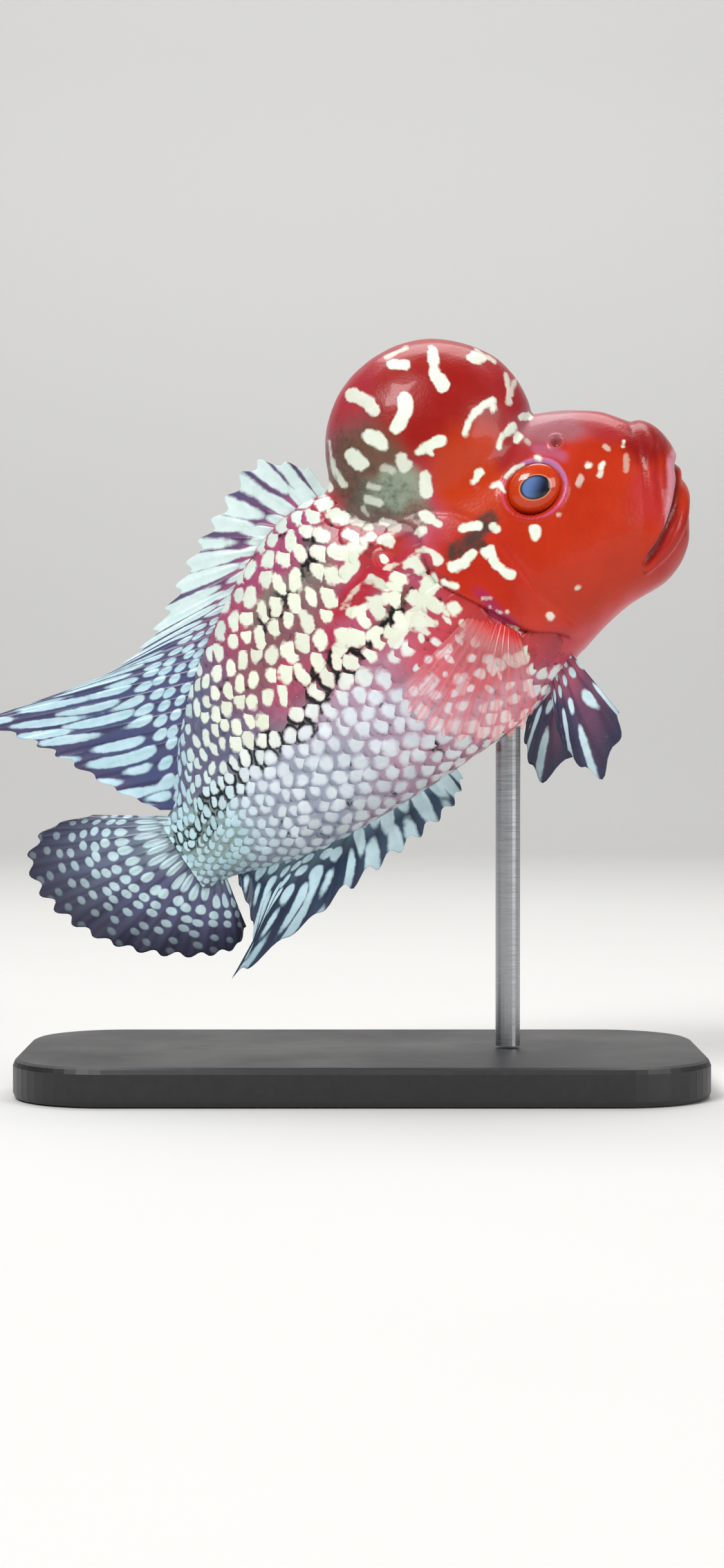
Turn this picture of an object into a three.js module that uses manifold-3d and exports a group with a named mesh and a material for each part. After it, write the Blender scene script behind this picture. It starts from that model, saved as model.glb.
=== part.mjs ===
// A flowerhorn cichlid at life size, held nose up on a small display stand.
// Millimetres, +Z up. The origin is the centre of the stand's underside.
// The fish is drawn in its own frame, in which +X points to the snout, +Z to the back
// and -Y to its right side. One group then tips that frame nose up over the stand.
import * as THREE from "three";
import { mergeVertices } from "three/addons/utils/BufferGeometryUtils.js";
import Module from "manifold-3d";

const wasm = await Module();
wasm.setup();

// Driving dimensions.
const gap = 0.3; // between neighbouring pieces
const noseUp = 34; // degrees from level
const fishHeight = 59; // from the floor to the fish frame's origin
const fishForward = 6.5; // from the stand's centre to the fish frame's origin

const baseLength = 88;
const baseWidth = 46;
const baseThickness = 5;
const baseCorner = 12;
const baseChamfer = 0.8;
const rodRadius = 1.6;
const rodForward = 18.9; // the rod stands between the pelvic fins and the anal fin
const rodReach = 60;

const membraneThickness = 0.5;
const rayRidge = 0.32; // how far a ray stands out on each face of its fin

const humpCentre = [15.4, 0, 19.2];
const humpRadii = [13.9, 10.2, 13.2];

const eyeCentre = [22.5, 7.2, 6.1]; // y is measured from the middle of the head
const eyeRadii = [4.0, 2.5, 3.4];
const nostril = { u: 28.4, v: 9.6, radius: 0.85, sunk: 0.2 };

// Body stations from the tail root to the snout: the height of the back, the belly and the
// widest point, half the width there, and the share by which it narrows towards the back.
const stations = [
  { place: "tail root", u: -40.6, back: -2.6, belly: -12.9, middle: -7.6, half: 1.3, pinch: 0.1 },
  { place: "peduncle", u: -37.2, back: -0.6, belly: -13.3, middle: -7.2, half: 2.7, pinch: 0.15 },
  { place: "end of the dorsal fin", u: -33.5, back: 4.6, belly: -14.6, middle: -6.0, half: 4.0, pinch: 0.2 },
  { place: "soft dorsal fin", u: -27.5, back: 10.4, belly: -16.4, middle: -4.0, half: 5.5, pinch: 0.26 },
  { place: "rear flank", u: -19.5, back: 15.7, belly: -17.5, middle: -2.0, half: 7.1, pinch: 0.28 },
  { place: "middle flank", u: -10.5, back: 20.2, belly: -18.0, middle: -0.6, half: 8.7, pinch: 0.28 },
  { place: "vent", u: -3.0, back: 21.6, belly: -18.0, middle: 0, half: 9.7, pinch: 0.25 },
  { place: "nape", u: 5.0, back: 20.0, belly: -17.7, middle: 0.2, half: 10.3, pinch: 0.18 },
  { place: "gill opening", u: 11.0, back: 18.6, belly: -16.4, middle: 0, half: 10.7, pinch: 0.1 },
  { place: "cheek", u: 19.0, back: 17.4, belly: -14.0, middle: -0.8, half: 10.3, pinch: 0.05 },
  { place: "eye", u: 25.0, back: 15.8, belly: -13.0, middle: -1.8, half: 9.5, pinch: 0.05 },
  { place: "upper snout", u: 31.0, back: 13.3, belly: -13.1, middle: -2.8, half: 8.5, pinch: 0.08 },
  { place: "lip root", u: 35.6, back: 10.1, belly: -10.9, middle: -2.2, half: 7.2, pinch: 0.1 },
  { place: "snout", u: 38.4, back: 6.6, belly: -6.8, middle: -1.2, half: 5.2, pinch: 0.1 },
];
const snoutTip = { u: 39.8, v: 0.2 };
const tailTip = { u: -41.4, v: -7.7 };
const ringSides = 28;
const stepsBetweenStations = 3;
const flankFlatness = 0.84; // 1 is an ellipse, less is fuller
const bellyPinch = 0.1;
const narrowestHalf = 0.2;

// The rear edge of the head, down the gill opening, from above the nape to below the throat.
const gillEdge = [
  [2.3, 30], [2.3, 17.1], [5.2, 13.6], [7.2, 10.4], [6.2, 6.7], [5.8, 2.9],
  [8.0, -1.2], [10.1, -5.0], [12.1, -8.6], [15.8, -11.7], [19.5, -19],
];
// The front edge of the gill cover, from top to bottom.
const cheekEdge = [[8.8, 12.0], [12.4, 9.4], [14.6, 5.0], [15.4, 0.0], [15.8, -5.0], [17.4, -10.6]];
const gillCoverTop = 12.2;
const gillCoverFoot = -11.2;
const gillCoverLift = 0.45;
const gillCoverDepth = 1.2; // how deep the cover reaches under the body's own surface
// The line of the mouth, from in front of the lips back to its corner.
const mouthLine = [[46, 1.2], [40.6, -1.2], [38.8, -3.4], [35.8, -6.2], [32.5, -8.3], [28.8, -9.7]];
const jawHinge = [25.6, -15.5];
const tailCut = [[-33.4, 12], [-34.6, 0], [-35.2, -7], [-34.6, -20]];

const lerp = THREE.MathUtils.lerp;
const radians = THREE.MathUtils.degToRad;
const outOfReach = 80; // beyond every part of the fish

// Geometry helpers.

// A smooth curve through rows of numbers: at(t) gives one row, with t from 0 to 1.
function smoothRows(rows) {
  const last = rows.length - 1;
  return (t) => {
    const place = Math.min(Math.max(t, 0), 1) * last;
    const i = Math.min(Math.floor(place), last - 1);
    const f = place - i;
    return rows[i].map((_, k) => {
      const before = rows[Math.max(i - 1, 0)][k];
      const from = rows[i][k];
      const to = rows[i + 1][k];
      const after = rows[Math.min(i + 2, last)][k];
      const slopeFrom = (to - before) / 2;
      const slopeTo = (after - from) / 2;
      const f2 = f * f;
      const f3 = f2 * f;
      return (2 * f3 - 3 * f2 + 1) * from + (f3 - 2 * f2 + f) * slopeFrom +
        (3 * f2 - 2 * f3) * to + (f3 - f2) * slopeTo;
    });
  };
}

// A closed solid from rings of points, each end closed by a point.
function skinRings(rings, startPoint, endPoint) {
  const sides = rings[0].length;
  const points = [startPoint, ...rings.flat(), endPoint];
  const faces = [];
  const at = (ring, side) => 1 + ring * sides + (side % sides);
  for (let side = 0; side < sides; side++) {
    faces.push(0, at(0, side + 1), at(0, side));
    faces.push(points.length - 1, at(rings.length - 1, side), at(rings.length - 1, side + 1));
    for (let ring = 0; ring + 1 < rings.length; ring++) {
      faces.push(at(ring, side), at(ring, side + 1), at(ring + 1, side + 1));
      faces.push(at(ring, side), at(ring + 1, side + 1), at(ring + 1, side));
    }
  }
  return indexed(points, faces);
}

function indexed(points, faces) {
  const geometry = new THREE.BufferGeometry();
  geometry.setAttribute("position", new THREE.Float32BufferAttribute(points.flat(), 3));
  geometry.setIndex(faces);
  return geometry;
}

// The same surface moved outwards along its normals.
function grown(geometry, distance) {
  const wider = geometry.clone();
  wider.computeVertexNormals();
  const { position, normal } = wider.attributes;
  for (let i = 0; i < position.count; i++) {
    position.setXYZ(
      i,
      position.getX(i) + normal.getX(i) * distance,
      position.getY(i) + normal.getY(i) * distance,
      position.getZ(i) + normal.getZ(i) * distance,
    );
  }
  return wider;
}

function solidOf(geometry) {
  const bare = geometry.clone();
  for (const name of Object.keys(bare.attributes)) {
    if (name !== "position") bare.deleteAttribute(name);
  }
  const merged = mergeVertices(bare, 1e-4);
  const solid = new wasm.Manifold(new wasm.Mesh({
    numProp: 3,
    vertProperties: new Float32Array(merged.attributes.position.array),
    triVerts: new Uint32Array(merged.index.array),
  }));
  if (solid.volume() < 0) throw new Error("a surface faces inwards");
  return solid;
}

function geometryOf(solid) {
  const mesh = solid.getMesh();
  const geometry = new THREE.BufferGeometry();
  const position = new Float32Array(mesh.numVert * 3);
  for (let i = 0; i < mesh.numVert; i++) {
    for (let k = 0; k < 3; k++) position[3 * i + k] = mesh.vertProperties[i * mesh.numProp + k];
  }
  geometry.setAttribute("position", new THREE.BufferAttribute(position, 3));
  geometry.setIndex(new THREE.BufferAttribute(new Uint32Array(mesh.triVerts), 1));
  return geometry;
}

// The space within a distance of a solid, near enough: the solid and copies moved each way.
function spread(solid, distance) {
  const steps = Array.from({ length: 8 }, (_, i) => (Math.PI * i) / 4);
  const moved = steps.map((a) => solid.translate([distance * Math.cos(a), 0, distance * Math.sin(a)]));
  const across = [-distance, distance].map((d) => solid.translate([0, d, 0]));
  return wasm.Manifold.union([solid, ...moved, ...across]);
}

function largestPiece(solid) {
  return solid.decompose().reduce((best, piece) => (piece.volume() > best.volume() ? piece : best));
}

// An upright outline in the fish's side view, drawn out across it from y = from to y = to.
function prism(outline, from = -outOfReach, to = outOfReach) {
  const shape = new THREE.Shape(outline.map(([u, v]) => new THREE.Vector2(u, v)));
  const geometry = new THREE.ExtrudeGeometry(shape, { depth: to - from, bevelEnabled: false });
  geometry.rotateX(Math.PI / 2);
  geometry.translate(0, to, 0);
  return solidOf(geometry);
}

// A line of points moved sideways, to its left as it runs for a positive distance.
function besideLine(line, distance) {
  return line.map(([u, v], i) => {
    const [u0, v0] = line[Math.max(i - 1, 0)];
    const [u1, v1] = line[Math.min(i + 1, line.length - 1)];
    const length = Math.hypot(u1 - u0, v1 - v0);
    return [u - (distance * (v1 - v0)) / length, v + (distance * (u1 - u0)) / length];
  });
}

function finerLine(line, steps) {
  const at = smoothRows(line);
  return Array.from({ length: steps + 1 }, (_, i) => at(i / steps));
}

// Body.

const stationRow = smoothRows(stations.map((s) => [s.u, s.back, s.belly, s.middle, s.half, s.pinch]));

function bodyRing([u, back, belly, middle, half, backPinch]) {
  return Array.from({ length: ringSides }, (_, side) => {
    const angle = (2 * Math.PI * side) / ringSides;
    const out = Math.cos(angle);
    const up = Math.sin(angle);
    const narrowing = 1 - (up > 0 ? backPinch : bellyPinch) * up * up;
    const y = half * narrowing * Math.sign(out) * Math.abs(out) ** flankFlatness;
    return [u, y, middle + up * (up > 0 ? back - middle : middle - belly)];
  });
}

// The body's closed surface, drawn in on every side by an inset.
function bodyShape(inset = 0) {
  const ringCount = (stations.length - 1) * stepsBetweenStations;
  const rings = Array.from({ length: ringCount + 1 }, (_, i) => {
    const [u, back, belly, middle, half, backPinch] = stationRow(i / ringCount);
    const narrower = Math.max(half - inset, narrowestHalf);
    return bodyRing([u, back - inset, belly + inset, middle, narrower, backPinch]);
  });
  return skinRings(rings, [tailTip.u, 0, tailTip.v], [snoutTip.u - inset, 0, snoutTip.v]);
}

const bodySurface = bodyShape();
const body = solidOf(bodySurface);
const aroundBody = solidOf(grown(bodySurface, gap));

// Height of the back and belly of the fish above its own frame's level, at a place along it.
const backLine = smoothRows(stations.map((s) => [s.u, s.back]));
const bellyLine = smoothRows(stations.map((s) => [s.u, s.belly]));
function heightAt(line, u) {
  let low = 0;
  let high = 1;
  for (let i = 0; i < 30; i++) {
    const mid = (low + high) / 2;
    if (line(mid)[0] < u) low = mid;
    else high = mid;
  }
  return line(low)[1];
}

// How far the body's side stands out from the middle at a place in the side view.
function sideAt(u, v) {
  let low = 0;
  let high = 1;
  for (let i = 0; i < 30; i++) {
    const mid = (low + high) / 2;
    if (stationRow(mid)[0] < u) low = mid;
    else high = mid;
  }
  const [, back, belly, middle, half, backPinch] = stationRow(low);
  const up = (v - middle) / (v > middle ? back - middle : middle - belly);
  if (Math.abs(up) >= 1) return 0;
  const narrowing = 1 - (up > 0 ? backPinch : bellyPinch) * up * up;
  return half * narrowing * (1 - up * up) ** (flankFlatness / 2);
}

const gillLine = finerLine(gillEdge, 24);
const mouthCurve = finerLine(mouthLine, 14);
const cheekLine = finerLine(cheekEdge, 12);

const headOutline = (inset) => [
  ...besideLine(gillLine, inset), [outOfReach, -19], [outOfReach, 30],
];
const jawOutline = (inset) => {
  const lip = besideLine(mouthCurve, inset);
  const hinge = [jawHinge[0] + inset, jawHinge[1]];
  return [...lip, hinge, [hinge[0], -outOfReach], [46, -outOfReach]];
};
const gillCoverOutline = (() => {
  const rear = besideLine(gillLine, gap / 2).filter(([, v]) => v < gillCoverTop && v > gillCoverFoot);
  return [...rear, ...cheekLine.toReversed()];
})();

// Head.

function ellipsoid(centre, radii, widthSegments, heightSegments) {
  const geometry = new THREE.SphereGeometry(1, widthSegments, heightSegments);
  geometry.rotateX(Math.PI / 2);
  geometry.scale(...radii);
  geometry.translate(...centre);
  return geometry;
}

// A lip: a roll of changing thickness along a line from the right corner round to the left.
function lipRoll(halfLine, steps, sides) {
  const mirrored = halfLine.slice(0, -1).reverse().map(([x, y, ...rest]) => [x, -y, ...rest]);
  const line = [...halfLine, ...mirrored];
  const at = smoothRows(line);
  const rings = [];
  for (let i = 0; i <= steps; i++) {
    const t = i / steps;
    const [x, y, z, depth, tall] = at(t);
    const ahead = at(Math.min(t + 0.02, 1));
    const behind = at(Math.max(t - 0.02, 0));
    const along = new THREE.Vector3(...ahead.slice(0, 3).map((value, k) => value - behind[k])).normalize();
    const across = new THREE.Vector3(0, 0, 1).cross(along).normalize();
    const up = along.clone().cross(across).normalize();
    rings.push(Array.from({ length: sides }, (_, side) => {
      const angle = (2 * Math.PI * side) / sides;
      const point = new THREE.Vector3(x, y, z)
        .addScaledVector(across, depth * Math.cos(angle))
        .addScaledVector(up, tall * Math.sin(angle));
      return point.toArray();
    }));
  }
  return skinRings(rings, line[0].slice(0, 3), line[line.length - 1].slice(0, 3));
}

// Each row is a point on the lip's centre line, then its half depth and half height.
const upperLipLine = [
  [28.4, -6.2, -9.2, 0.5, 0.6],
  [31.8, -6.9, -7.2, 1.3, 1.7],
  [35.0, -6.2, -4.0, 2.0, 2.7],
  [37.3, -3.9, -0.8, 2.4, 4.1],
  [38.5, 0, 1.5, 2.7, 5.1],
];
const lowerLipLine = [
  [28.6, -5.8, -10.4, 0.5, 0.6],
  [32.0, -6.1, -9.3, 1.2, 1.3],
  [35.0, -5.3, -7.5, 1.7, 1.7],
  [37.1, -3.5, -5.3, 1.9, 1.8],
  [38.0, 0, -3.8, 1.9, 1.9],
];

function headNodes() {
  const nodes = [];
  const jawRegion = prism(jawOutline(gap / 2));
  const aroundJaw = prism(jawOutline(-gap / 2));
  const lowerLip = solidOf(lipRoll(lowerLipLine, 22, 10));
  const upperLip = solidOf(lipRoll(upperLipLine, 22, 12));
  const jaw = body.add(lowerLip).intersect(jawRegion);
  nodes.push(["lower_jaw", largestPiece(jaw), "face"]);
  nodes.push(["upper_lip", largestPiece(upperLip.subtract(aroundBody).subtract(aroundJaw)), "face"]);

  let head = body.intersect(prism(headOutline(gap / 2))).subtract(aroundJaw);
  const coverSurface = solidOf(grown(bodySurface, gillCoverLift));
  const core = solidOf(bodyShape(gillCoverDepth));
  const deeperCore = solidOf(bodyShape(gillCoverDepth + gap));
  for (const [side, sign] of [["right", -1], ["left", 1]]) {
    const cutOut = prism(gillCoverOutline, ...(sign < 0 ? [-outOfReach, 0] : [0, outOfReach]));
    const cover = coverSurface.intersect(cutOut).subtract(core);
    nodes.push([`gill_cover_${side}`, largestPiece(cover), "face"]);
    head = head.subtract(spread(cutOut, gap).subtract(deeperCore));

    const centre = [eyeCentre[0], sign * eyeCentre[1], eyeCentre[2]];
    const socketRadii = eyeRadii.map((radius) => radius + gap);
    nodes.push([`eye_${side}`, solidOf(ellipsoid(centre, eyeRadii, 20, 14)), "eye"]);
    head = head.subtract(solidOf(ellipsoid(centre, socketRadii, 20, 14)));
    const pit = [nostril.u, sign * (sideAt(nostril.u, nostril.v) - nostril.sunk), nostril.v];
    head = head.subtract(solidOf(ellipsoid(pit, Array(3).fill(nostril.radius), 10, 8)));
  }
  nodes.push(["head", largestPiece(head), "face"]);

  const hump = solidOf(ellipsoid(humpCentre, humpRadii, 30, 20));
  nodes.push(["nuchal_hump", largestPiece(hump.subtract(aroundBody)), "hump"]);
  return nodes;
}

function trunkNodes() {
  const behindGills = prism([...besideLine(gillLine, -gap / 2), [-outOfReach, -19], [-outOfReach, 30]]);
  const tailLine = finerLine(tailCut, 6);
  const tail = prism([...besideLine(tailLine, -gap / 2), [-outOfReach, -20], [-outOfReach, 12]]);
  const aheadOfTail = prism([
    ...besideLine(tailLine, gap / 2), [outOfReach, -20], [outOfReach, 40], [-33.4, 40],
  ]);
  return [
    ["torso", largestPiece(body.intersect(behindGills).intersect(aheadOfTail)), "flank"],
    ["tail_peduncle", largestPiece(body.intersect(tail)), "flank"],
  ];
}

// Fins.

// A fin is a plate between a root line and an outer edge, with a ridge along every ray on
// both faces. root(s) and edge(s) give side-view points, with s from the first ray to the last.
// Rays reach the edge and the membrane between them stops short of it.
function finPlate({ rays, rows, root, edge, rootThickness, membraneReach, bend, ridge = rayRidge }) {
  const columns = 2 * rays - 1;
  const near = [];
  const far = [];
  for (let column = 0; column < columns; column++) {
    const s = column / (columns - 1);
    const isRay = column % 2 === 0;
    const [u0, v0] = root(s);
    const [u1, v1] = edge(s);
    const reach = isRay ? 1 : membraneReach(s);
    for (let row = 0; row <= rows; row++) {
      const r = (reach * row) / rows;
      const taper = Math.min(1, r * 2.2);
      const web = lerp(rootThickness, membraneThickness, taper);
      const thickness = web + (isRay ? 2 * ridge * (1 - 0.75 * r) : 0);
      const u = lerp(u0, u1, r);
      const v = lerp(v0, v1, r);
      const y = bend(s, r);
      near.push([u, y - thickness / 2, v]);
      far.push([u, y + thickness / 2, v]);
    }
  }
  const points = [...near, ...far];
  const count = near.length;
  const at = (column, row) => column * (rows + 1) + row;
  const faces = [];
  const quad = (a, b, c, d) => faces.push(a, b, c, a, c, d);
  for (let column = 0; column + 1 < columns; column++) {
    for (let row = 0; row < rows; row++) {
      const [a, b] = [at(column, row), at(column + 1, row)];
      const [c, d] = [at(column + 1, row + 1), at(column, row + 1)];
      faces.push(a, b, c, a, c, d);
      faces.push(count + a, count + c, count + b, count + a, count + d, count + c);
    }
    quad(at(column + 1, 0), at(column, 0), count + at(column, 0), count + at(column + 1, 0));
    quad(at(column, rows), at(column + 1, rows), count + at(column + 1, rows), count + at(column, rows));
  }
  for (let row = 0; row < rows; row++) {
    const last = columns - 1;
    quad(at(0, row), at(0, row + 1), count + at(0, row + 1), count + at(0, row));
    quad(at(last, row + 1), at(last, row), count + at(last, row), count + at(last, row + 1));
  }
  return facingOut(indexed(points, faces));
}

function facingOut(geometry) {
  const p = geometry.attributes.position;
  const index = geometry.index.array;
  const [a, b, c] = [new THREE.Vector3(), new THREE.Vector3(), new THREE.Vector3()];
  let volume = 0;
  for (let i = 0; i < index.length; i += 3) {
    a.fromBufferAttribute(p, index[i]);
    b.fromBufferAttribute(p, index[i + 1]);
    c.fromBufferAttribute(p, index[i + 2]);
    volume += a.dot(b.cross(c));
  }
  if (volume < 0) {
    for (let i = 0; i < index.length; i += 3) [index[i], index[i + 1]] = [index[i + 1], index[i]];
  }
  return geometry;
}

const rootSink = 1.6; // how deep a fin's plate starts inside the body, before it is cut clear

// Outer edges, from the first spine to the last soft ray, at even steps along the root.
const dorsalEdge = [
  [0.8, 25.0], [-4.8, 29.7], [-12.0, 27.2], [-18.6, 24.2], [-25.0, 20.4], [-31.4, 17.8],
  [-39.0, 18.0], [-49.5, 20.8], [-53.6, 21.8], [-49.6, 16.4], [-46.6, 11.0], [-43.4, 4.4], [-39.9, -1.0],
];
const dorsalRoot = { from: 0.9, to: -37.6 };
const analEdge = [
  [-5.2, -19.6], [-7.6, -21.6], [-12.6, -22.6], [-18.4, -23.0], [-25.4, -23.4], [-34.0, -23.9],
  [-44.4, -24.4], [-40.2, -22.4], [-37.9, -18.6], [-36.9, -14.6],
];
const analRoot = { from: -4.9, to: -35.6 };
const caudalEdge = [
  [-47.6, 3.4], [-53.6, 5.4], [-58.0, 3.6], [-59.3, -0.8], [-58.6, -5.4], [-56.6, -9.9],
  [-53.7, -13.9], [-50.0, -17.4], [-45.8, -20.2], [-42.0, -21.4], [-39.4, -19.8],
];
const caudalRoot = { top: [-38.6, -2.9], bottom: [-37.6, -12.4] };

function medianFins() {
  const dorsalAt = smoothRows(dorsalEdge);
  const dorsal = finPlate({
    rays: 28,
    rows: 5,
    root: (s) => {
      const u = lerp(dorsalRoot.from, dorsalRoot.to, s);
      return [u, heightAt(backLine, u) - rootSink];
    },
    edge: dorsalAt,
    rootThickness: 2.4,
    membraneReach: (s) => (s < 0.6 ? 0.9 : 0.965),
    bend: (s, r) => 1.3 * Math.sin(Math.PI * s * 1.4) * r * r,
  });
  const analAt = smoothRows(analEdge);
  const anal = finPlate({
    rays: 17,
    rows: 4,
    root: (s) => {
      const u = lerp(analRoot.from, analRoot.to, s);
      return [u, heightAt(bellyLine, u) + rootSink];
    },
    edge: analAt,
    rootThickness: 2.2,
    membraneReach: (s) => (s < 0.5 ? 0.86 : 0.96),
    bend: (s, r) => -1.2 * s * r * r,
  });
  const caudalAt = smoothRows(caudalEdge);
  const caudal = finPlate({
    rays: 17,
    rows: 5,
    root: (s) => [
      lerp(caudalRoot.top[0], caudalRoot.bottom[0], s),
      lerp(caudalRoot.top[1], caudalRoot.bottom[1], s),
    ],
    edge: caudalAt,
    rootThickness: 1.7,
    membraneReach: () => 0.975,
    bend: (s, r) => 2.6 * r * r * (0.35 + 0.65 * s),
  });
  return [
    ["dorsal_fin", largestPiece(solidOf(dorsal).subtract(aroundBody).subtract(humpClearance())), "fin"],
    ["anal_fin", largestPiece(solidOf(anal).subtract(aroundBody)), "fin"],
    ["caudal_fin", largestPiece(solidOf(caudal).subtract(aroundBody)), "fin"],
  ];
}

function humpClearance() {
  return solidOf(ellipsoid(humpCentre, humpRadii.map((r) => r + gap), 30, 20));
}

// Paired fins are drawn flat, with the root at the origin of their own plane, and then
// turned out from the body about the root's line.
const pectoral = {
  root: [[7.2, -2.6], [9.6, -8.4]],
  edge: [[-5.6, -5.2], [-6.8, -9.0], [-5.2, -13.0], [-1.6, -16.6], [3.4, -18.2], [7.8, -16.4]],
  rootAcross: 9.5,
  turnOut: 24,
};
const pelvic = {
  root: [[15.1, -13.6], [11.1, -15.6]],
  edge: [[15.9, -23.4], [14.4, -26.2], [9.4, -29.4], [7.9, -26.4], [7.6, -23.6], [8.1, -21.0]],
  rootAcross: 3.6,
  turnOut: 17,
  swept: { right: 0, left: 26 },
};

function pairedFin(plan, { rays, rows, rootThickness, sign, sweep, pull }) {
  const edgeAt = smoothRows(plan.edge);
  const [start, end] = plan.root;
  const plate = finPlate({
    rays,
    rows,
    root: (s) => [lerp(start[0], end[0], s) + pull[0], lerp(start[1], end[1], s) + pull[1]],
    edge: edgeAt,
    rootThickness,
    membraneReach: () => 0.95,
    bend: (s, r) => -0.8 * Math.sin(Math.PI * s) * r,
    ridge: 0.24,
  });
  const hinge = [(start[0] + end[0]) / 2, (start[1] + end[1]) / 2];
  const lean = Math.atan2(start[1] - end[1], end[0] - start[0]);
  const [tipU, tipV] = edgeAt(0.5);
  const below = (end[1] - start[1]) * (tipU - hinge[0]) - (end[0] - start[0]) * (tipV - hinge[1]);
  const turnOut = radians(plan.turnOut) * Math.sign(-below);
  plate.translate(-hinge[0], 0, -hinge[1]);
  plate.rotateY(radians(sweep) - lean);
  plate.scale(1, 1, 1 / Math.cos(turnOut)); // so that it looks the same from the side
  plate.rotateX(turnOut);
  plate.rotateY(lean);
  plate.translate(hinge[0], -plan.rootAcross, hinge[1]);
  if (sign > 0) {
    plate.scale(1, -1, 1);
    facingOut(plate);
  }
  return solidOf(plate);
}

function pairedFins() {
  const nodes = [];
  const coverSpace = (sign) => spread(
    prism(gillCoverOutline, ...(sign < 0 ? [-outOfReach, 0] : [0, outOfReach])),
    gap,
  );
  for (const [side, sign] of [["right", -1], ["left", 1]]) {
    const breast = pairedFin(pectoral, {
      rays: 13, rows: 4, rootThickness: 1.3, sign, sweep: 0, pull: [1.0, 0.4],
    });
    const clear = breast.subtract(aroundBody).subtract(coverSpace(sign));
    nodes.push([`pectoral_fin_${side}`, largestPiece(clear), "clear_fin"]);
    const belly = pairedFin(pelvic, {
      rays: 6, rows: 5, rootThickness: 1.4, sign, sweep: pelvic.swept[side], pull: [0, 0.6],
    });
    nodes.push([`pelvic_fin_${side}`, largestPiece(belly.subtract(aroundBody)), "fin"]);
  }
  return nodes;
}

// Stand, in the floor's frame.

function standNodes() {
  const half = [baseLength / 2 - baseChamfer, baseWidth / 2 - baseChamfer];
  const corner = baseCorner - baseChamfer;
  const outline = new THREE.Shape();
  outline.absarc(half[0] - corner, half[1] - corner, corner, 0, Math.PI / 2);
  outline.absarc(corner - half[0], half[1] - corner, corner, Math.PI / 2, Math.PI);
  outline.absarc(corner - half[0], corner - half[1], corner, Math.PI, 1.5 * Math.PI);
  outline.absarc(half[0] - corner, corner - half[1], corner, 1.5 * Math.PI, 2 * Math.PI);
  outline.closePath();
  const base = new THREE.ExtrudeGeometry(outline, {
    depth: baseThickness - 2 * baseChamfer,
    bevelThickness: baseChamfer,
    bevelSize: baseChamfer,
    bevelSegments: 2,
    curveSegments: 6,
  });
  base.translate(0, 0, baseChamfer);

  const rod = new THREE.CylinderGeometry(rodRadius, rodRadius, rodReach, 20);
  rod.rotateX(Math.PI / 2);
  rod.translate(rodForward, 0, baseThickness + gap + rodReach / 2);
  const tippedBody = aroundBody.rotate([0, -noseUp, 0]).translate([fishForward, 0, fishHeight]);
  const pieces = solidOf(rod).subtract(tippedBody).decompose();
  const lowest = pieces.reduce((best, piece) => (
    piece.boundingBox().min[2] < best.boundingBox().min[2] ? piece : best
  ));
  return [["stand_base", solidOf(base), "base"], ["stand_rod", lowest, "rod"]];
}

// Assembly.

const finishes = {
  face: new THREE.MeshStandardMaterial({ color: 0xc22a12, roughness: 0.32, metalness: 0 }),
  hump: new THREE.MeshStandardMaterial({ color: 0xb3261a, roughness: 0.3, metalness: 0 }),
  flank: new THREE.MeshStandardMaterial({ color: 0xc9b9bd, roughness: 0.38, metalness: 0 }),
  eye: new THREE.MeshStandardMaterial({ color: 0x1b2438, roughness: 0.1, metalness: 0 }),
  fin: new THREE.MeshStandardMaterial({ color: 0x6f8a94, roughness: 0.4, metalness: 0 }),
  clear_fin: new THREE.MeshStandardMaterial({ color: 0xe3a3a3, roughness: 0.4, metalness: 0 }),
  base: new THREE.MeshStandardMaterial({ color: 0x2a2a2c, roughness: 0.45, metalness: 0 }),
  rod: new THREE.MeshStandardMaterial({ color: 0xb8babd, roughness: 0.3, metalness: 0.9 }),
};

function meshOf([name, solid, finish]) {
  const mesh = new THREE.Mesh(geometryOf(solid), finishes[finish]);
  mesh.name = name;
  return mesh;
}

const fish = new THREE.Group();
fish.rotation.y = -radians(noseUp);
fish.position.set(fishForward, 0, fishHeight);
for (const node of [...headNodes(), ...trunkNodes(), ...medianFins(), ...pairedFins()]) {
  fish.add(meshOf(node));
}

const model = new THREE.Group();
model.add(fish);
for (const node of standNodes()) model.add(meshOf(node));

export default model;
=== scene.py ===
import math

import bpy
import numpy as np
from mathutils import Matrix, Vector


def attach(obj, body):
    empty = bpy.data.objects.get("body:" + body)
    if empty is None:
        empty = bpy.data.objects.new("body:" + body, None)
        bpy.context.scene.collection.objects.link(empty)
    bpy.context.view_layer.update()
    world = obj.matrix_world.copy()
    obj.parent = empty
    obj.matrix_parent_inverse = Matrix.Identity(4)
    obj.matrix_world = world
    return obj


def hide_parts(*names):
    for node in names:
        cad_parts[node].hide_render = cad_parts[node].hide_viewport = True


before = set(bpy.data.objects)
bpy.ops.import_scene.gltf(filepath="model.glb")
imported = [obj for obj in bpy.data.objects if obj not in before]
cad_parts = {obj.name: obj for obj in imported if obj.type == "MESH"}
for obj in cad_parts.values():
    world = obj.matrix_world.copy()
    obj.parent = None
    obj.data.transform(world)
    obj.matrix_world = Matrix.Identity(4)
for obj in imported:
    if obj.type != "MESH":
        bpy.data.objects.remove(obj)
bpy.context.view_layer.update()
print("stage: frame loaded")

# The fish is drawn in millimetres in its own frame, in which +X (u) points to the snout,
# +Z (v) to the back and -Y to its right side, and is then tipped nose up over the stand.
pose = {"noseUp": 34, "height": 59, "forward": 6.5}


def toWorld(points):
    c = math.cos(math.radians(pose["noseUp"]))
    s = math.sin(math.radians(pose["noseUp"]))
    x, y, z = points[..., 0], points[..., 1], points[..., 2]
    placed = [x * c - z * s + pose["forward"], y, x * s + z * c + pose["height"]]
    return np.stack(placed, -1) * 0.001


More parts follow.
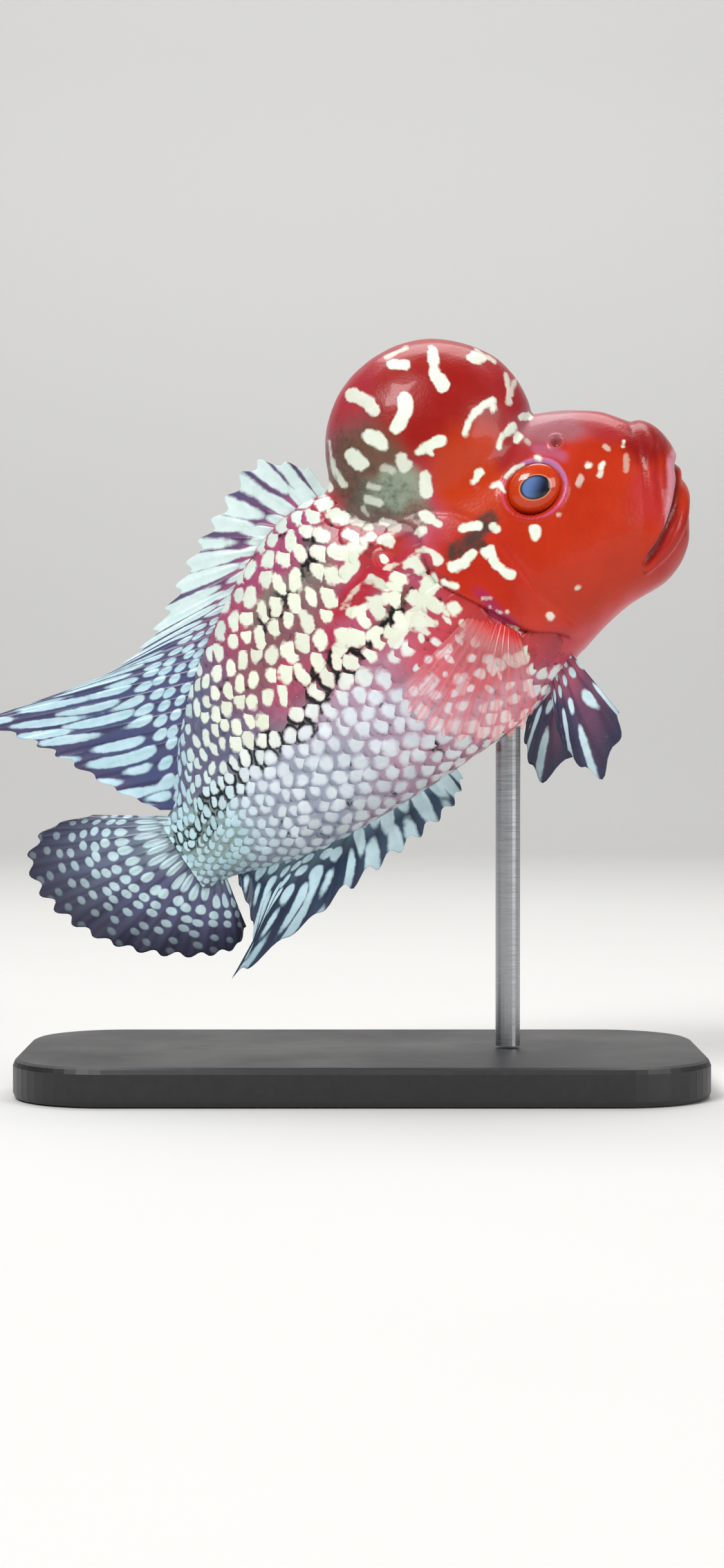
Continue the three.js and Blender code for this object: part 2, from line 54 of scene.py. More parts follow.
def paint(red, green, blue):
    # A colour as read on a screen, turned into the render's own scale.
    value = np.array([red, green, blue]) / 255
    value = np.where(value <= 0.04045, value / 12.92, ((value + 0.055) / 1.055) ** 2.4)
    return (*(float(part) for part in value), 1.0)


def smoothStep(low, high, value):
    t = np.clip((value - low) / (high - low), 0, 1)
    return t * t * (3 - 2 * t)


def blend(a, b, share):
    return a + (b - a) * share


def smoothRows(rows):
    # A smooth curve through rows of numbers: at(t) gives the row at each t, from 0 to 1.
    rows = np.array(rows, float)
    last = len(rows) - 1

    def at(t):
        place = np.clip(np.asarray(t, float), 0, 1) * last
        i = np.minimum(np.floor(place).astype(int), last - 1)
        f = (place - i)[..., None]
        before, start = rows[np.maximum(i - 1, 0)], rows[i]
        end, after = rows[i + 1], rows[np.minimum(i + 2, last)]
        slopeStart, slopeEnd = (end - before) / 2, (after - start) / 2
        f2, f3 = f * f, f * f * f
        return (
            (2 * f3 - 3 * f2 + 1) * start + (f3 - 2 * f2 + f) * slopeStart
            + (3 * f2 - 2 * f3) * end + (f3 - f2) * slopeEnd
        )

    return at


def lineReach(u, v, line):
    # Distance to a line in the side view, the side it is on (left as it runs is positive)
    # and the share of the way along the line, from 0 to 1, of the nearest place.
    line = np.array(line, float)
    best = np.full(np.shape(u), 1e9)
    side = np.zeros(np.shape(u))
    along = np.zeros(np.shape(u))
    run = 0.0
    for (u0, v0), (u1, v1) in zip(line[:-1], line[1:]):
        du, dv = u1 - u0, v1 - v0
        length = math.hypot(du, dv) + 1e-9
        t = np.clip(((u - u0) * du + (v - v0) * dv) / length**2, 0, 1)
        distance = np.hypot(u - u0 - t * du, v - v0 - t * dv)
        nearer = distance < best
        best = np.where(nearer, distance, best)
        side = np.where(nearer, np.sign(du * (v - v0) - dv * (u - u0)), side)
        along = np.where(nearer, run + t * length, along)
        run += length
    return best, side, along / run


# Body

body = {
    # place along the body, back, belly, widest height, half width, narrowing to the back
    "tail root": (-40.6, -2.6, -12.9, -7.6, 1.3, 0.1),
    "peduncle": (-37.2, -0.6, -13.3, -7.2, 2.7, 0.15),
    "end of the dorsal fin": (-33.5, 4.6, -14.6, -6.0, 4.0, 0.2),
    "soft dorsal fin": (-27.5, 10.4, -16.4, -4.0, 5.5, 0.26),
    "rear flank": (-19.5, 15.7, -17.5, -2.0, 7.1, 0.28),
    "middle flank": (-10.5, 20.2, -18.0, -0.6, 8.7, 0.28),
    "vent": (-3.0, 21.6, -18.0, 0, 9.7, 0.25),
    "nape": (5.0, 20.0, -17.7, 0.2, 10.3, 0.18),
    "gill opening": (11.0, 18.6, -16.4, 0, 10.7, 0.1),
    "cheek": (19.0, 17.4, -14.0, -0.8, 10.3, 0.05),
    "eye": (25.0, 15.8, -13.0, -1.8, 9.5, 0.05),
    "upper snout": (31.0, 13.3, -13.1, -2.8, 8.5, 0.08),
    "lip root": (35.6, 10.1, -10.9, -2.2, 7.2, 0.1),
    "snout": (38.4, 6.6, -6.8, -1.2, 5.2, 0.1),
}
snoutTip = (39.8, 0, 0.2)
tailTip = (-41.4, 0, -7.7)
flankFlatness = 0.84
bellyPinch = 0.1

hump = {"centre": (15.4, 0, 19.2), "radii": (13.9, 10.2, 13.2)}
eye = {
    "centre": (22.5, 7.2, 6.1), "radii": (4.0, 2.2, 3.4),
    "bowl": 0.34, "socket": 1.9, "rim": 0.2, "rimAt": 1.08, "ringAt": 1.05, "ringWidth": 0.075,
    "lean": -16,  # of the pupil, in degrees
}
nostril = {"place": (28.4, 9.6), "radius": 0.8, "depth": 0.9}

gillEdge = [
    (2.3, 30), (2.3, 17.1), (5.2, 13.6), (7.2, 10.4), (6.2, 6.7), (5.8, 2.9),
    (8.0, -1.2), (10.1, -5.0), (12.1, -8.6), (15.8, -11.7), (19.5, -19),
]
cheekEdge = [(8.8, 12.0), (12.4, 9.4), (14.6, 5.0), (15.4, 0.0), (15.8, -5.0), (17.4, -10.6)]
mouthLine = [(46, 1.2), (40.6, -1.2), (38.8, -3.4), (35.8, -6.2), (32.5, -8.3), (28.8, -9.7)]

# Each row is a point on the lip's centre line, then its half depth and half height.
upperLip = [
    (28.4, -6.2, -9.2, 0.5, 0.6), (31.8, -6.9, -7.2, 1.3, 1.7), (35.0, -6.2, -4.0, 2.0, 2.7),
    (37.3, -3.9, -0.8, 2.4, 4.1), (38.5, 0, 1.5, 2.7, 5.1),
]
lowerLip = [
    (28.6, -5.8, -10.4, 0.5, 0.6), (32.0, -6.1, -9.3, 1.2, 1.3), (35.0, -5.3, -7.5, 1.7, 1.7),
    (37.1, -3.5, -5.3, 1.9, 1.8), (38.0, 0, -3.8, 1.9, 1.9),
]

stationRows = smoothRows(list(body.values()))
profile = stationRows(np.linspace(0, 1, 1500))


def profileAt(u):
    return [np.interp(u, profile[:, 0], profile[:, k]) for k in range(1, 6)]


def bodyPoint(u, angle):
    back, belly, middle, half, backPinch = profileAt(u)
    out, up = np.cos(angle), np.sin(angle)
    narrowing = 1 - np.where(up > 0, backPinch, bellyPinch) * up * up
    y = half * narrowing * np.sign(out) * np.abs(out) ** flankFlatness
    z = middle + up * np.where(up > 0, back - middle, middle - belly)
    return np.stack([u + 0 * angle, y, z], -1)


def ringSolid(rings, start, end):
    count, sides = rings.shape[:2]
    points = np.concatenate([[start], rings.reshape(-1, 3), [end]])
    faces = []
    for side in range(sides):
        after = (side + 1) % sides
        faces.append((0, 1 + after, 1 + side))
        lastRing = 1 + (count - 1) * sides
        faces.append((len(points) - 1, lastRing + side, lastRing + after))
        for ring in range(count - 1):
            a, b = 1 + ring * sides, 1 + (ring + 1) * sides
            faces.append((a + side, a + after, b + after, b + side))
    return points, faces


def bodySolid(ringCount=200, sides=96):
    rows = stationRows(np.linspace(0, 1, ringCount))
    angle = np.linspace(0, 2 * np.pi, sides, endpoint=False)
    rings = np.stack([bodyPoint(np.full(sides, row[0]), angle) for row in rows])
    return ringSolid(rings, tailTip, snoutTip)


def ellipsoid(centre, radii, sides=96, rows=64):
    angle = np.linspace(0, 2 * np.pi, sides, endpoint=False)
    tilt = np.linspace(0, np.pi, rows + 2)[1:-1, None]
    ball = [0 * angle - np.cos(tilt), np.cos(angle) * np.sin(tilt), np.sin(angle) * np.sin(tilt)]
    pole = np.array([radii[0], 0, 0])
    return ringSolid(np.stack(ball, -1) * radii + centre, centre - pole, centre + pole)


def lipSolid(halfLine, steps=90, sides=36):
    mirrored = [(x, -y, *rest) for x, y, *rest in reversed(halfLine[:-1])]
    at = smoothRows(list(halfLine) + mirrored)
    t = np.linspace(0, 1, steps)
    rows = at(t)
    along = at(np.minimum(t + 0.02, 1))[:, :3] - at(np.maximum(t - 0.02, 0))[:, :3]
    along /= np.linalg.norm(along, axis=1)[:, None]
    across = np.cross([0, 0, 1], along)
    across /= np.linalg.norm(across, axis=1)[:, None]
    up = np.cross(along, across)
    angle = np.linspace(0, 2 * np.pi, sides, endpoint=False)
    rings = (
        rows[:, None, :3]
        + rows[:, None, 3:4] * across[:, None] * np.cos(angle)[None, :, None]
        + rows[:, None, 4:5] * up[:, None] * np.sin(angle)[None, :, None]
    )
    return ringSolid(rings, rows[0, :3], rows[-1, :3])


def joined(solids):
    points, faces, start = [], [], 0
    for somePoints, someFaces in solids:
        points.append(somePoints)
        faces += [tuple(start + i for i in face) for face in someFaces]
        start += len(somePoints)
    return np.concatenate(points), faces


def plateFaces(columns, rows):
    # Faces of a thin plate. The points of one face come first, then those of the other.
    count = columns * rows
    index = np.arange(count).reshape(columns, rows)
    quads = np.stack([index[:-1, :-1], index[1:, :-1], index[1:, 1:], index[:-1, 1:]], -1)
    quads = quads.reshape(-1, 4)
    ring = np.concatenate([index[0, :-1], index[:-1, -1], index[-1, :0:-1], index[:0:-1, 0]])
    after = np.roll(ring, -1)
    wall = np.stack([ring, after, after + count, ring + count], -1)
    return np.concatenate([quads, quads[:, ::-1] + count, wall])


def meshObject(name, points, faces):
    mesh = bpy.data.meshes.new(name)
    mesh.from_pydata([tuple(p) for p in points], [], [tuple(f) for f in faces])
    mesh.update()
    mesh.shade_smooth()
    made = bpy.data.objects.new(name, mesh)
    bpy.context.scene.collection.objects.link(made)
    return made


def setField(mesh, name, values, kind="FLOAT_VECTOR", label="vector"):
    made = mesh.attributes.new(name, kind, "POINT")
    made.data.foreach_set(label, np.asarray(values, np.float32).ravel())


# Markings, shared by the skin and the scales

# Each pearl is a line in the side view, its width at the line's start and end, and its strength.
pearls = {
    "top of the nape": ([(10.2, 29.1), (11.2, 27.3), (11.4, 25.5)], 1.9, 1.2, 0.9),
    "crown dot": ([(16.8, 29.2), (17.7, 28.5)], 1.4, 1.4, 1),
    "crown streak": ([(16.6, 30.9), (19.4, 30.4)], 0.7, 0.6, 0.6),
    "front bar": ([(22.0, 28.4), (21.2, 26.9), (20.2, 25.2), (20.3, 23.4)], 1.1, 1.7, 1),
    "front star": ([(26.0, 24.4), (26.7, 23.9)], 1.8, 1.5, 0.8),
    "front star's arm": ([(26.9, 25.2), (27.2, 24.2), (27.9, 22.8)], 0.5, 0.5, 0.7),
    "front wedge": ([(28.2, 20.4), (27.4, 18.9), (26.4, 17.2)], 0.5, 0.9, 0.7),
    "front wedge's arm": ([(29.4, 19.4), (28.2, 18.8), (27.0, 17.8)], 0.4, 0.8, 0.65),
    "rear bar": ([(15.2, 24.6), (14.5, 23.4), (12.2, 22.3)], 1.9, 1.6, 1),
    "rear oval": ([(9.0, 23.5), (9.7, 21.7)], 1.8, 1.8, 1),
    "nape oval": ([(5.9, 22.7), (6.0, 21.0)], 1.7, 1.7, 0.95),
    "nape crescent": ([(4.6, 26.2), (3.3, 23.4), (2.9, 20.4)], 0.35, 0.85, 0.8),
    "low bar": ([(13.0, 18.2), (14.6, 18.0), (16.0, 17.8)], 1.0, 1.5, 1),
    "low bar's foot": ([(14.0, 17.5), (14.2, 16.9)], 0.6, 0.4, 1),
    "temple oval": ([(11.9, 15.2), (11.1, 13.3)], 1.4, 1.7, 1),
    "forehead bar": ([(19.2, 17.0), (21.0, 18.0), (22.9, 18.6), (24.5, 18.6)], 0.9, 1.1, 1),
    "forehead bar's hook": ([(23.6, 18.4), (24.2, 18.2), (24.1, 17.4)], 0.8, 0.7, 0.9),
    "patch spot one": ([(10.7, 18.6), (10.6, 17.5)], 1.6, 1.4, 0.85),
    "patch spot two": ([(8.2, 18.9), (8.8, 18.2)], 1.2, 1.0, 0.5),
    "patch spot three": ([(5.4, 18.2), (6.3, 17.3)], 0.8, 0.7, 0.6),
    "patch spot four": ([(4.5, 16.9), (5.3, 15.7)], 1.2, 0.9, 0.65),
    "patch spot five": ([(3.3, 16.2), (3.4, 15.2)], 0.9, 0.8, 0.4),
    "patch spot six": ([(4.4, 13.4), (5.5, 11.8)], 1.3, 1.1, 0.6),
    "patch spot seven": ([(1.5, 15.6), (2.6, 13.8)], 0.9, 0.9, 0.6),
    "brow chain one": ([(22.0, 13.1), (23.1, 14.0)], 0.8, 0.7, 1),
    "brow chain two": ([(23.9, 13.9), (25.1, 14.4)], 0.9, 0.9, 1),
    "brow chain three": ([(26.6, 14.7), (27.7, 14.5)], 0.95, 0.8, 0.95),
    "brow dot": ([(24.3, 12.6), (25.1, 12.8)], 0.9, 0.9, 0.95),
    "faint brow dot": ([(25.4, 11.9), (25.6, 11.4)], 0.6, 0.5, 0.4),
    "temple": ([(16.7, 11.1), (17.9, 11.7)], 1.2, 1.2, 1),
    "behind the eye": ([(18.4, 9.4), (19.1, 9.1)], 1.0, 1.1, 1),
    "behind the eye's tail": ([(19.1, 9.0), (19.3, 8.0)], 0.8, 0.5, 1),
    "before the eye": ([(25.2, 9.1), (25.3, 8.8)], 1.1, 1.0, 0.95),
    "over the eye": ([(20.4, 9.5), (21.9, 9.8), (23.2, 9.4)], 0.35, 0.45, 0.85),
    "cheek bar": ([(12.3, 7.1), (14.0, 6.3)], 1.25, 1.25, 1),
    "cheek dot": ([(15.4, 5.2), (15.7, 4.6)], 0.9, 0.8, 0.95),
    "cover bar": ([(8.5, 3.8), (9.9, 3.4), (11.2, 3.7)], 1.25, 1.35, 1),
    "cover hook": ([(13.1, 2.8), (13.8, 3.0)], 1.5, 1.3, 1),
    "cover hook's stem": ([(13.5, 2.5), (13.1, 0.9), (13.4, -0.3), (13.9, -1.3)], 1.1, 1.0, 1),
    "under the eye": ([(19.5, 1.9), (19.2, 1.1)], 1.1, 1.1, 1),
    "under the eye dot": ([(23.2, 1.75), (23.4, 1.6)], 0.6, 0.6, 0.8),
    "snout dot one": ([(29.9, 4.9), (30.0, 4.8)], 0.8, 0.8, 0.95),
    "snout dot two": ([(31.3, 3.7), (31.8, 4.0)], 0.8, 0.8, 0.95),
    "snout dot three": ([(30.4, 3.0), (30.9, 3.2)], 0.5, 0.5, 0.8),
    "snout streak": ([(27.5, 3.6), (28.4, 4.1)], 0.6, 0.5, 0.5),
    "lip dot": ([(35.1, 4.4), (35.7, 4.9)], 0.55, 0.5, 0.9),
    "lip streak": ([(33.7, 1.6), (34.7, 3.3)], 0.7, 0.6, 0.35),
    "lip speck": ([(33.2, 5.7), (33.3, 5.3)], 0.45, 0.4, 0.45),
    "jaw dot one": ([(15.25, -8.3), (15.4, -8.4)], 0.6, 0.5, 0.8),
    "jaw dot two": ([(20.1, -7.3), (20.5, -7.3)], 0.3, 0.3, 0.7),
    "gill dot": ([(9.2, 11.2), (9.5, 10.4)], 1.4, 1.3, 0.9),
    "gill dot's tail": ([(9.6, 10.0), (10.1, 9.2)], 0.7, 0.7, 0.9),
    "low gill dot": ([(7.0, 9.8), (8.1, 9.5)], 0.9, 0.7, 0.85),
    "gill edge dot": ([(3.3, 11.6), (3.8, 10.9)], 1.6, 1.6, 1),
    "slit pearl": ([(9.3, -1.7), (10.1, -2.1)], 0.6, 0.7, 0.8),
    "slit speck one": ([(9.5, -3.1), (9.55, -3.15)], 0.35, 0.35, 0.8),
    "slit speck two": ([(10.2, -4.3), (10.25, -4.35)], 0.35, 0.35, 0.8),
    "slit speck three": ([(11.0, -4.8), (11.05, -4.85)], 0.4, 0.4, 0.8),
    "slit speck four": ([(10.1, -6.5), (10.3, -6.9)], 0.55, 0.5, 0.95),
    "slit speck five": ([(10.9, -7.3), (10.6, -7.8)], 0.4, 0.4, 0.9),
    "slit speck six": ([(9.9, -3.9), (9.95, -3.9)], 0.3, 0.3, 0.7),
    "gill cluster top": ([(3.9, 7.3), (5.3, 7.7)], 1.0, 1.0, 1),
    "gill cluster bend": ([(6.3, 7.8), (7.3, 6.7), (7.4, 5.4)], 0.8, 0.9, 0.9),
    "gill cluster stem": ([(4.8, 7.2), (5.0, 5.4)], 1.2, 1.0, 1),
    "gill cluster heart": ([(2.2, 1.9), (3.6, 3.0), (5.0, 3.7)], 1.6, 2.2, 1),
    "gill cluster foot": ([(6.4, 2.7), (7.4, 1.4)], 0.8, 0.7, 1),
    "stripe's white edge": ([(-5.6, 6.0), (-2.6, 5.6), (0.6, 4.9)], 1.1, 1.2, 1),
    "stripe's tooth one": ([(-0.5, 8.5), (-0.2, 6.8), (1.2, 5.4)], 0.9, 1.3, 1),
    "stripe's tooth two": ([(-2.8, 6.6), (-1.6, 5.6)], 0.7, 1.2, 1),
    "stripe's tooth three": ([(2.0, 6.0), (3.4, 5.8)], 1.3, 0.8, 1),
    "under the band": ([(-9.4, 3.2), (-6.6, 3.6)], 1.6, 1.6, 0.95),
    "band pearl": ([(-4.9, 2.4), (-4.2, 2.3)], 1.6, 1.5, 1),
    "low white edge": ([(-3.0, 0.0), (-1.0, 1.2), (2.2, 1.8)], 1.6, 1.5, 0.95),
    "nape chain one": ([(0.0, 12.9), (0.6, 12.6)], 1.4, 1.3, 1),
    "nape chain two": ([(-2.6, 13.9), (-1.2, 12.6)], 1.9, 1.6, 1),
    "nape chain three": ([(-3.4, 10.6), (-2.0, 10.9)], 1.8, 1.8, 1),
    "nape edge one": ([(1.2, 22.6), (1.4, 21.0)], 0.8, 0.7, 0.9),
    "nape edge two": ([(0.2, 22.0), (0.0, 20.9)], 1.0, 0.9, 0.9),
    "nape edge three": ([(-0.2, 20.2), (-0.8, 18.2)], 0.8, 0.7, 0.9),
    "nape edge four": ([(0.0, 17.8), (0.3, 17.1)], 1.1, 1.0, 0.95),
    "lateral line front": ([(1.0, 8.4), (2.0, 8.15), (4.0, 8.3)], 0.28, 0.22, 0.75),
    "lateral line": ([(-6.2, 7.4), (-4.4, 8.0), (-2.8, 8.5), (-1.2, 8.2)], 0.22, 0.3, 0.75),
    "breast dot one": ([(5.6, -9.8), (6.4, -9.8)], 1.5, 1.6, 0.95),
    "breast dot two": ([(8.6, -10.6), (9.4, -10.6)], 1.6, 1.5, 0.8),
    "breast dot three": ([(4.4, -4.1), (5.4, -3.4)], 1.0, 0.7, 0.95),
    "breast dot four": ([(0.9, -4.4), (2.2, -4.6)], 1.3, 1.2, 0.9),
    "breast dot five": ([(-3.4, -7.0), (-1.6, -6.6)], 1.3, 1.5, 0.8),
    "breast dot six": ([(0.6, -9.6), (1.8, -8.8)], 1.3, 1.5, 0.6),
    "fin root dot one": ([(0.5, -0.3), (1.2, -1.4)], 0.8, 0.6, 0.95),
    "fin root dot two": ([(2.0, -0.1), (2.5, -1.0)], 0.9, 0.7, 0.95),
    "fin root dot three": ([(4.8, 0.3), (4.6, -0.8)], 0.7, 0.5, 0.95),
    "fin root dot four": ([(5.3, 0.1), (6.0, -1.0)], 0.5, 0.5, 0.9),
}

groundBase = (184, 84, 110)
# Soft clouds over the ground colour: centre, half length, half height, lean in degrees, colour, share.
clouds = {
    "dusk of the tail": ((-37, 5), 16, 30, 0, (104, 108, 136), 1.0),
    "rim of the back": ((-8, 20.0), 18, 4.5, 14, (178, 84, 122), 0.9),
    "moss of the back": ((-10.5, 12.2), 7.5, 3.2, 14, (126, 128, 112), 0.9),
    "moss of the nape": ((-3.2, 16.8), 2.6, 1.5, 0, (112, 112, 104), 0.8),
    "crimson flank": ((-15, 7.8), 11, 4.0, 16, (144, 96, 100), 0.85),
    "crimson spot": ((-9.2, 5.2), 1.6, 1.2, 0, (190, 50, 86), 0.9),
    "crimson spot behind": ((-16.6, 4.6), 2.2, 1.3, 30, (196, 66, 104), 0.9),
    "red stripe": ((-1.0, 7.7), 7.6, 2.0, 4, (196, 34, 48), 1.0),
    "red nape": ((1.8, 10.6), 4.0, 2.4, -10, (196, 46, 26), 1.0),
    "rose nape": ((0.5, 16.5), 3.2, 7.0, 0, (176, 52, 62), 0.9),
    "brown of the band": ((-1.2, 3.1), 4.6, 1.2, 12, (112, 78, 64), 0.95),
    "lilac belly": ((-14, -9.6), 23, 9.4, 3, (194, 172, 194), 1.0),
    "blue belly": ((-25, -10), 12, 9.0, 0, (166, 178, 196), 1.0),
    "rose under the band": ((-5.0, -3.4), 7.0, 1.6, 4, (206, 128, 152), 0.75),
    "rose breast": ((5.0, -6.8), 10, 6.6, -24, (220, 74, 88), 1.0),
    "pale breast": ((-1, -13.8), 12, 3.0, -4, (214, 168, 186), 0.8),
    "mint tail root": ((-37, -7.5), 6.5, 5.5, 0, (156, 188, 184), 0.9),
    "face": ((25.5, -1.5), 21.5, 14.5, 0, (188, 46, 12), 1.0),
    "gill cover": ((11.5, 1.0), 6.0, 9.0, 12, (186, 42, 20), 1.0),
    "crown": ((19.5, 22.5), 12.5, 11.5, 0, (154, 26, 20), 1.0),
    "rim of the hump": ((11.5, 31.5), 13, 3.8, 18, (168, 44, 54), 0.9),
    "front of the hump": ((27.6, 21.0), 3.2, 6.0, 0, (158, 36, 38), 0.7),
    "orange cheek": ((18.0, 11.5), 7.5, 6.5, 0, (190, 54, 14), 1.0),
    "dusk over the eye": ((24.2, 11.6), 4.6, 2.4, 12, (156, 34, 38), 0.85),
    "mauve brow": ((30.2, 12.2), 5.2, 3.4, -24, (160, 100, 108), 0.85),
    "lavender fold": ((27.1, 8.9), 0.9, 2.2, 30, (172, 108, 146), 0.45),
    "rose snout": ((35.4, 8.4), 4.6, 3.2, -40, (158, 38, 42), 0.8),
    "dark lip": ((38.2, 3.2), 3.6, 3.6, 0, (138, 14, 14), 0.9),
    "rose corner": ((34.2, -2.6), 3.4, 3.2, 45, (188, 46, 48), 0.7),
    "red jaw": ((34.5, -10.0), 6.0, 3.4, 30, (168, 32, 28), 0.85),
    "rose chin": ((21, -13.4), 8, 2.0, -4, (196, 62, 72), 0.8),
    "slit behind the cover": ((10.1, -4.6), 1.2, 4.0, 14, (160, 40, 84), 0.85),
    "moss of the hump": ((7.2, 20.8), 5.0, 6.6, -14, (108, 80, 62), 0.95),
    "dark of the moss": ((4.6, 15.6), 3.6, 3.4, 0, (92, 84, 74), 0.9),
    "green of the hump": ((8.0, 16.0), 3.6, 3.2, -20, (146, 162, 140), 0.9),
    "moss under the hump": ((7.6, 12.4), 2.8, 1.8, 0, (132, 104, 84), 0.7),
}
# Dark marks with ragged edges: line, width, strength.
shadows = {
    "gill cover smudge": ([(9.6, 5.2), (12.4, 5.2), (15.8, 6.2)], 2.6, 0.95),
    "gill cover smudge's foot": ([(12.0, 5.0), (13.0, 4.0)], 2.0, 0.9),
    "purple of the gill": ([(5.8, 6.2), (6.2, 4.0), (7.0, 2.8)], 1.0, 0.5),
    "front of the band": ([(-9.6, 0.6), (-6.0, 1.8), (-1.0, 2.8), (2.6, 4.2)], 1.6, 0.7),
    "middle of the band": ([(-17, -0.6), (-12, 1.2), (-8.5, 1.6)], 4.2, 0.95),
    "strong band": ([(-34, -4.2), (-26.0, -2.6), (-19.0, -1.8)], 4.6, 1.0),
    "tail band": ([(-44, -6.6), (-36, -5.8)], 4.2, 0.8),
    "blotches of the moss": ([(5.0, 25.0), (4.4, 19.0), (8.0, 12.0)], 8.0, 0.42),
    "moss network": ([(-16, 11.2), (-10, 12.4), (-4, 16.4)], 2.4, 0.45),
}
edgeWarp = {"wide": (2.6, 0.7), "narrow": (0.8, 0.28), "seed": 31}  # wave lengths and heights
leftSideBend = {"scale": 3.2, "height": 1.8, "seed": 71}


def flatWave(u, v, scale, seed):
    source = np.random.default_rng(seed)
    total = np.zeros(np.shape(u))
    for _ in range(7):
        turn = source.uniform(0, 6.28)
        rate = source.uniform(0.6, 1.6) / scale
        total = total + np.sin((u * math.cos(turn) + v * math.sin(turn)) * rate + source.uniform(0, 6.28))
    return total / 3.5


def markPlace(points):
    # Where a point's markings are read in the side view. The left side is bent by waves of its
    # own, as no fish is marked alike on both sides.
    u, v = points[:, 0], points[:, 2]
    scale, seed = leftSideBend["scale"], leftSideBend["seed"]
    height = leftSideBend["height"] * smoothStep(0.5, 4.5, points[:, 1])
    return u + height * flatWave(u, v, scale, seed), v + height * flatWave(u, v, scale, seed + 1)


def warped(u, v):
    # The side view bent by a few waves, so that no cloud has an even edge.
    du = np.zeros(np.shape(u))
    dv = np.zeros(np.shape(u))
    for step, kind in enumerate(("wide", "narrow")):
        scale, height = edgeWarp[kind]
        du = du + height * flatWave(u, v, scale, edgeWarp["seed"] + 2 * step)
        dv = dv + height * flatWave(u, v, scale, edgeWarp["seed"] + 2 * step + 1)
    return u + du, v + dv


def cloudShare(u, v, cloud):
    (cu, cv), halfLength, halfHeight, lean, _, share = cloud
    c, s = math.cos(math.radians(lean)), math.sin(math.radians(lean))
    a = ((u - cu) * c + (v - cv) * s) / halfLength
    b = (-(u - cu) * s + (v - cv) * c) / halfHeight
    return share * (1 - smoothStep(0.6, 1.25, np.hypot(a, b)))


def groundColour(u, v):
    colour = np.tile(paint(*groundBase)[:3], (len(u), 1))
    bentU, bentV = warped(u, v)
    for cloud in clouds.values():
        share = cloudShare(bentU, bentV, cloud)[:, None]
        colour = blend(colour, np.array(paint(*cloud[4])[:3]), share)
    return colour


def shadowShare(u, v):
    dark = np.zeros(len(u))
    for line, width, strength in shadows.values():
        distance = lineReach(u, v, line)[0]
        dark = np.maximum(dark, strength * (1 - smoothStep(0.1, 0.75, distance / width)))
    return dark


def pearlMarks(u, v):
    # Distance outside the nearest named pearl, negative within it, and that pearl's strength.
    nearest = np.full(len(u), 9.0)
    strength = np.ones(len(u))
    for line, startWidth, endWidth, share in pearls.values():
        distance, _, along = lineReach(u, v, line)
        distance = distance - blend(startWidth, endWidth, along) / 2
        nearer = distance < nearest
        nearest = np.where(nearer, distance, nearest)
        strength = np.where(nearer, share, strength)
    return nearest, strength


def setMarkings(mesh, marked):
    # The colours and marks at places in the side view, kept for the materials.
    colour = np.pad(groundColour(*marked), ((0, 0), (0, 1)), constant_values=1)
    setField(mesh, "ground", colour, "FLOAT_COLOR", "color")
    setField(mesh, "marks", np.stack([*pearlMarks(*marked), shadowShare(*marked)], -1))


# Skin

skinSizes = {
    "voxel": 0.27,
    "smoothing": 7,
    "creaseSmoothing": 240,
    "inset": 0.06,  # under the solids' surface on the head
    "insetUnderScales": 0.2,
    "gillLift": 0.42,
    "gillGroove": 0.45,
    "cheekGroove": 0.16,
    "mouthGroove": 0.75,
    "nostrilRim": 0.16,
    "humpRelief": (0.12, 1.6, 11),  # height, length and seed of the waves
    "fineRelief": (0.05, 0.55, 5),
}


def remeshed(points, faces, size):
    rough = meshObject("rough", points, faces)
    change = rough.modifiers.new("voxels", "REMESH")
    change.mode = "VOXEL"
    change.voxel_size = size
    view = bpy.context.evaluated_depsgraph_get()
    view.update()
    mesh = bpy.data.meshes.new_from_object(rough.evaluated_get(view))
    places = np.zeros(len(mesh.vertices) * 3)
    mesh.vertices.foreach_get("co", places)
    quads = np.zeros(len(mesh.loops), int)
    mesh.loops.foreach_get("vertex_index", quads)
    edges = np.zeros(len(mesh.edges) * 2, int)
    mesh.edges.foreach_get("vertices", edges)
    bpy.data.meshes.remove(mesh)
    bpy.data.objects.remove(rough)
    return places.reshape(-1, 3), quads.reshape(-1, 4), edges.reshape(-1, 2)


def neighbourMean(values, edges):
    count = len(values)
    degree = np.bincount(edges.ravel(), minlength=count)
    total = np.zeros_like(values)
    for k in range(values.shape[1]):
        total[:, k] = (
            np.bincount(edges[:, 0], values[edges[:, 1], k], count)
            + np.bincount(edges[:, 1], values[edges[:, 0], k], count)
        )
    return total / np.maximum(degree, 1)[:, None]


def vertexNormals(points, quads):
    a, b, c, d = (points[quads[:, k]] for k in range(4))
    face = np.cross(c - a, d - b)
    normals = np.zeros_like(points)
    for k in range(4):
        for axis in range(3):
            normals[:, axis] += np.bincount(quads[:, k], face[:, axis], len(points))
    return normals / np.maximum(np.linalg.norm(normals, axis=1), 1e-9)[:, None]


def softWave(points, height, scale, seed):
    # Smooth repeatable relief, from a few crossed waves.
    source = np.random.default_rng(seed)
    total = np.zeros(len(points))
    for _ in range(9):
        direction = source.normal(size=3)
        direction /= np.linalg.norm(direction)
        rate = source.uniform(0.7, 1.5)
        total += np.sin(points @ direction / scale * rate + source.uniform(0, 6.28))
    return height * total / 9


def ridge(distance, width):
    # 1 on a line, falling off smoothly on both sides.
    return np.exp(-((distance / width) ** 2))


gillLine = smoothRows(gillEdge)(np.linspace(0, 1, 40))
cheekLine = smoothRows(cheekEdge)(np.linspace(0, 1, 24))
mouthCurve = smoothRows(mouthLine)(np.linspace(0, 1, 30))


def behindGill(u, v):
    # Distance behind the gill opening, negative on the head.
    distance, side, _ = lineReach(u, v, gillLine)
    return -distance * side


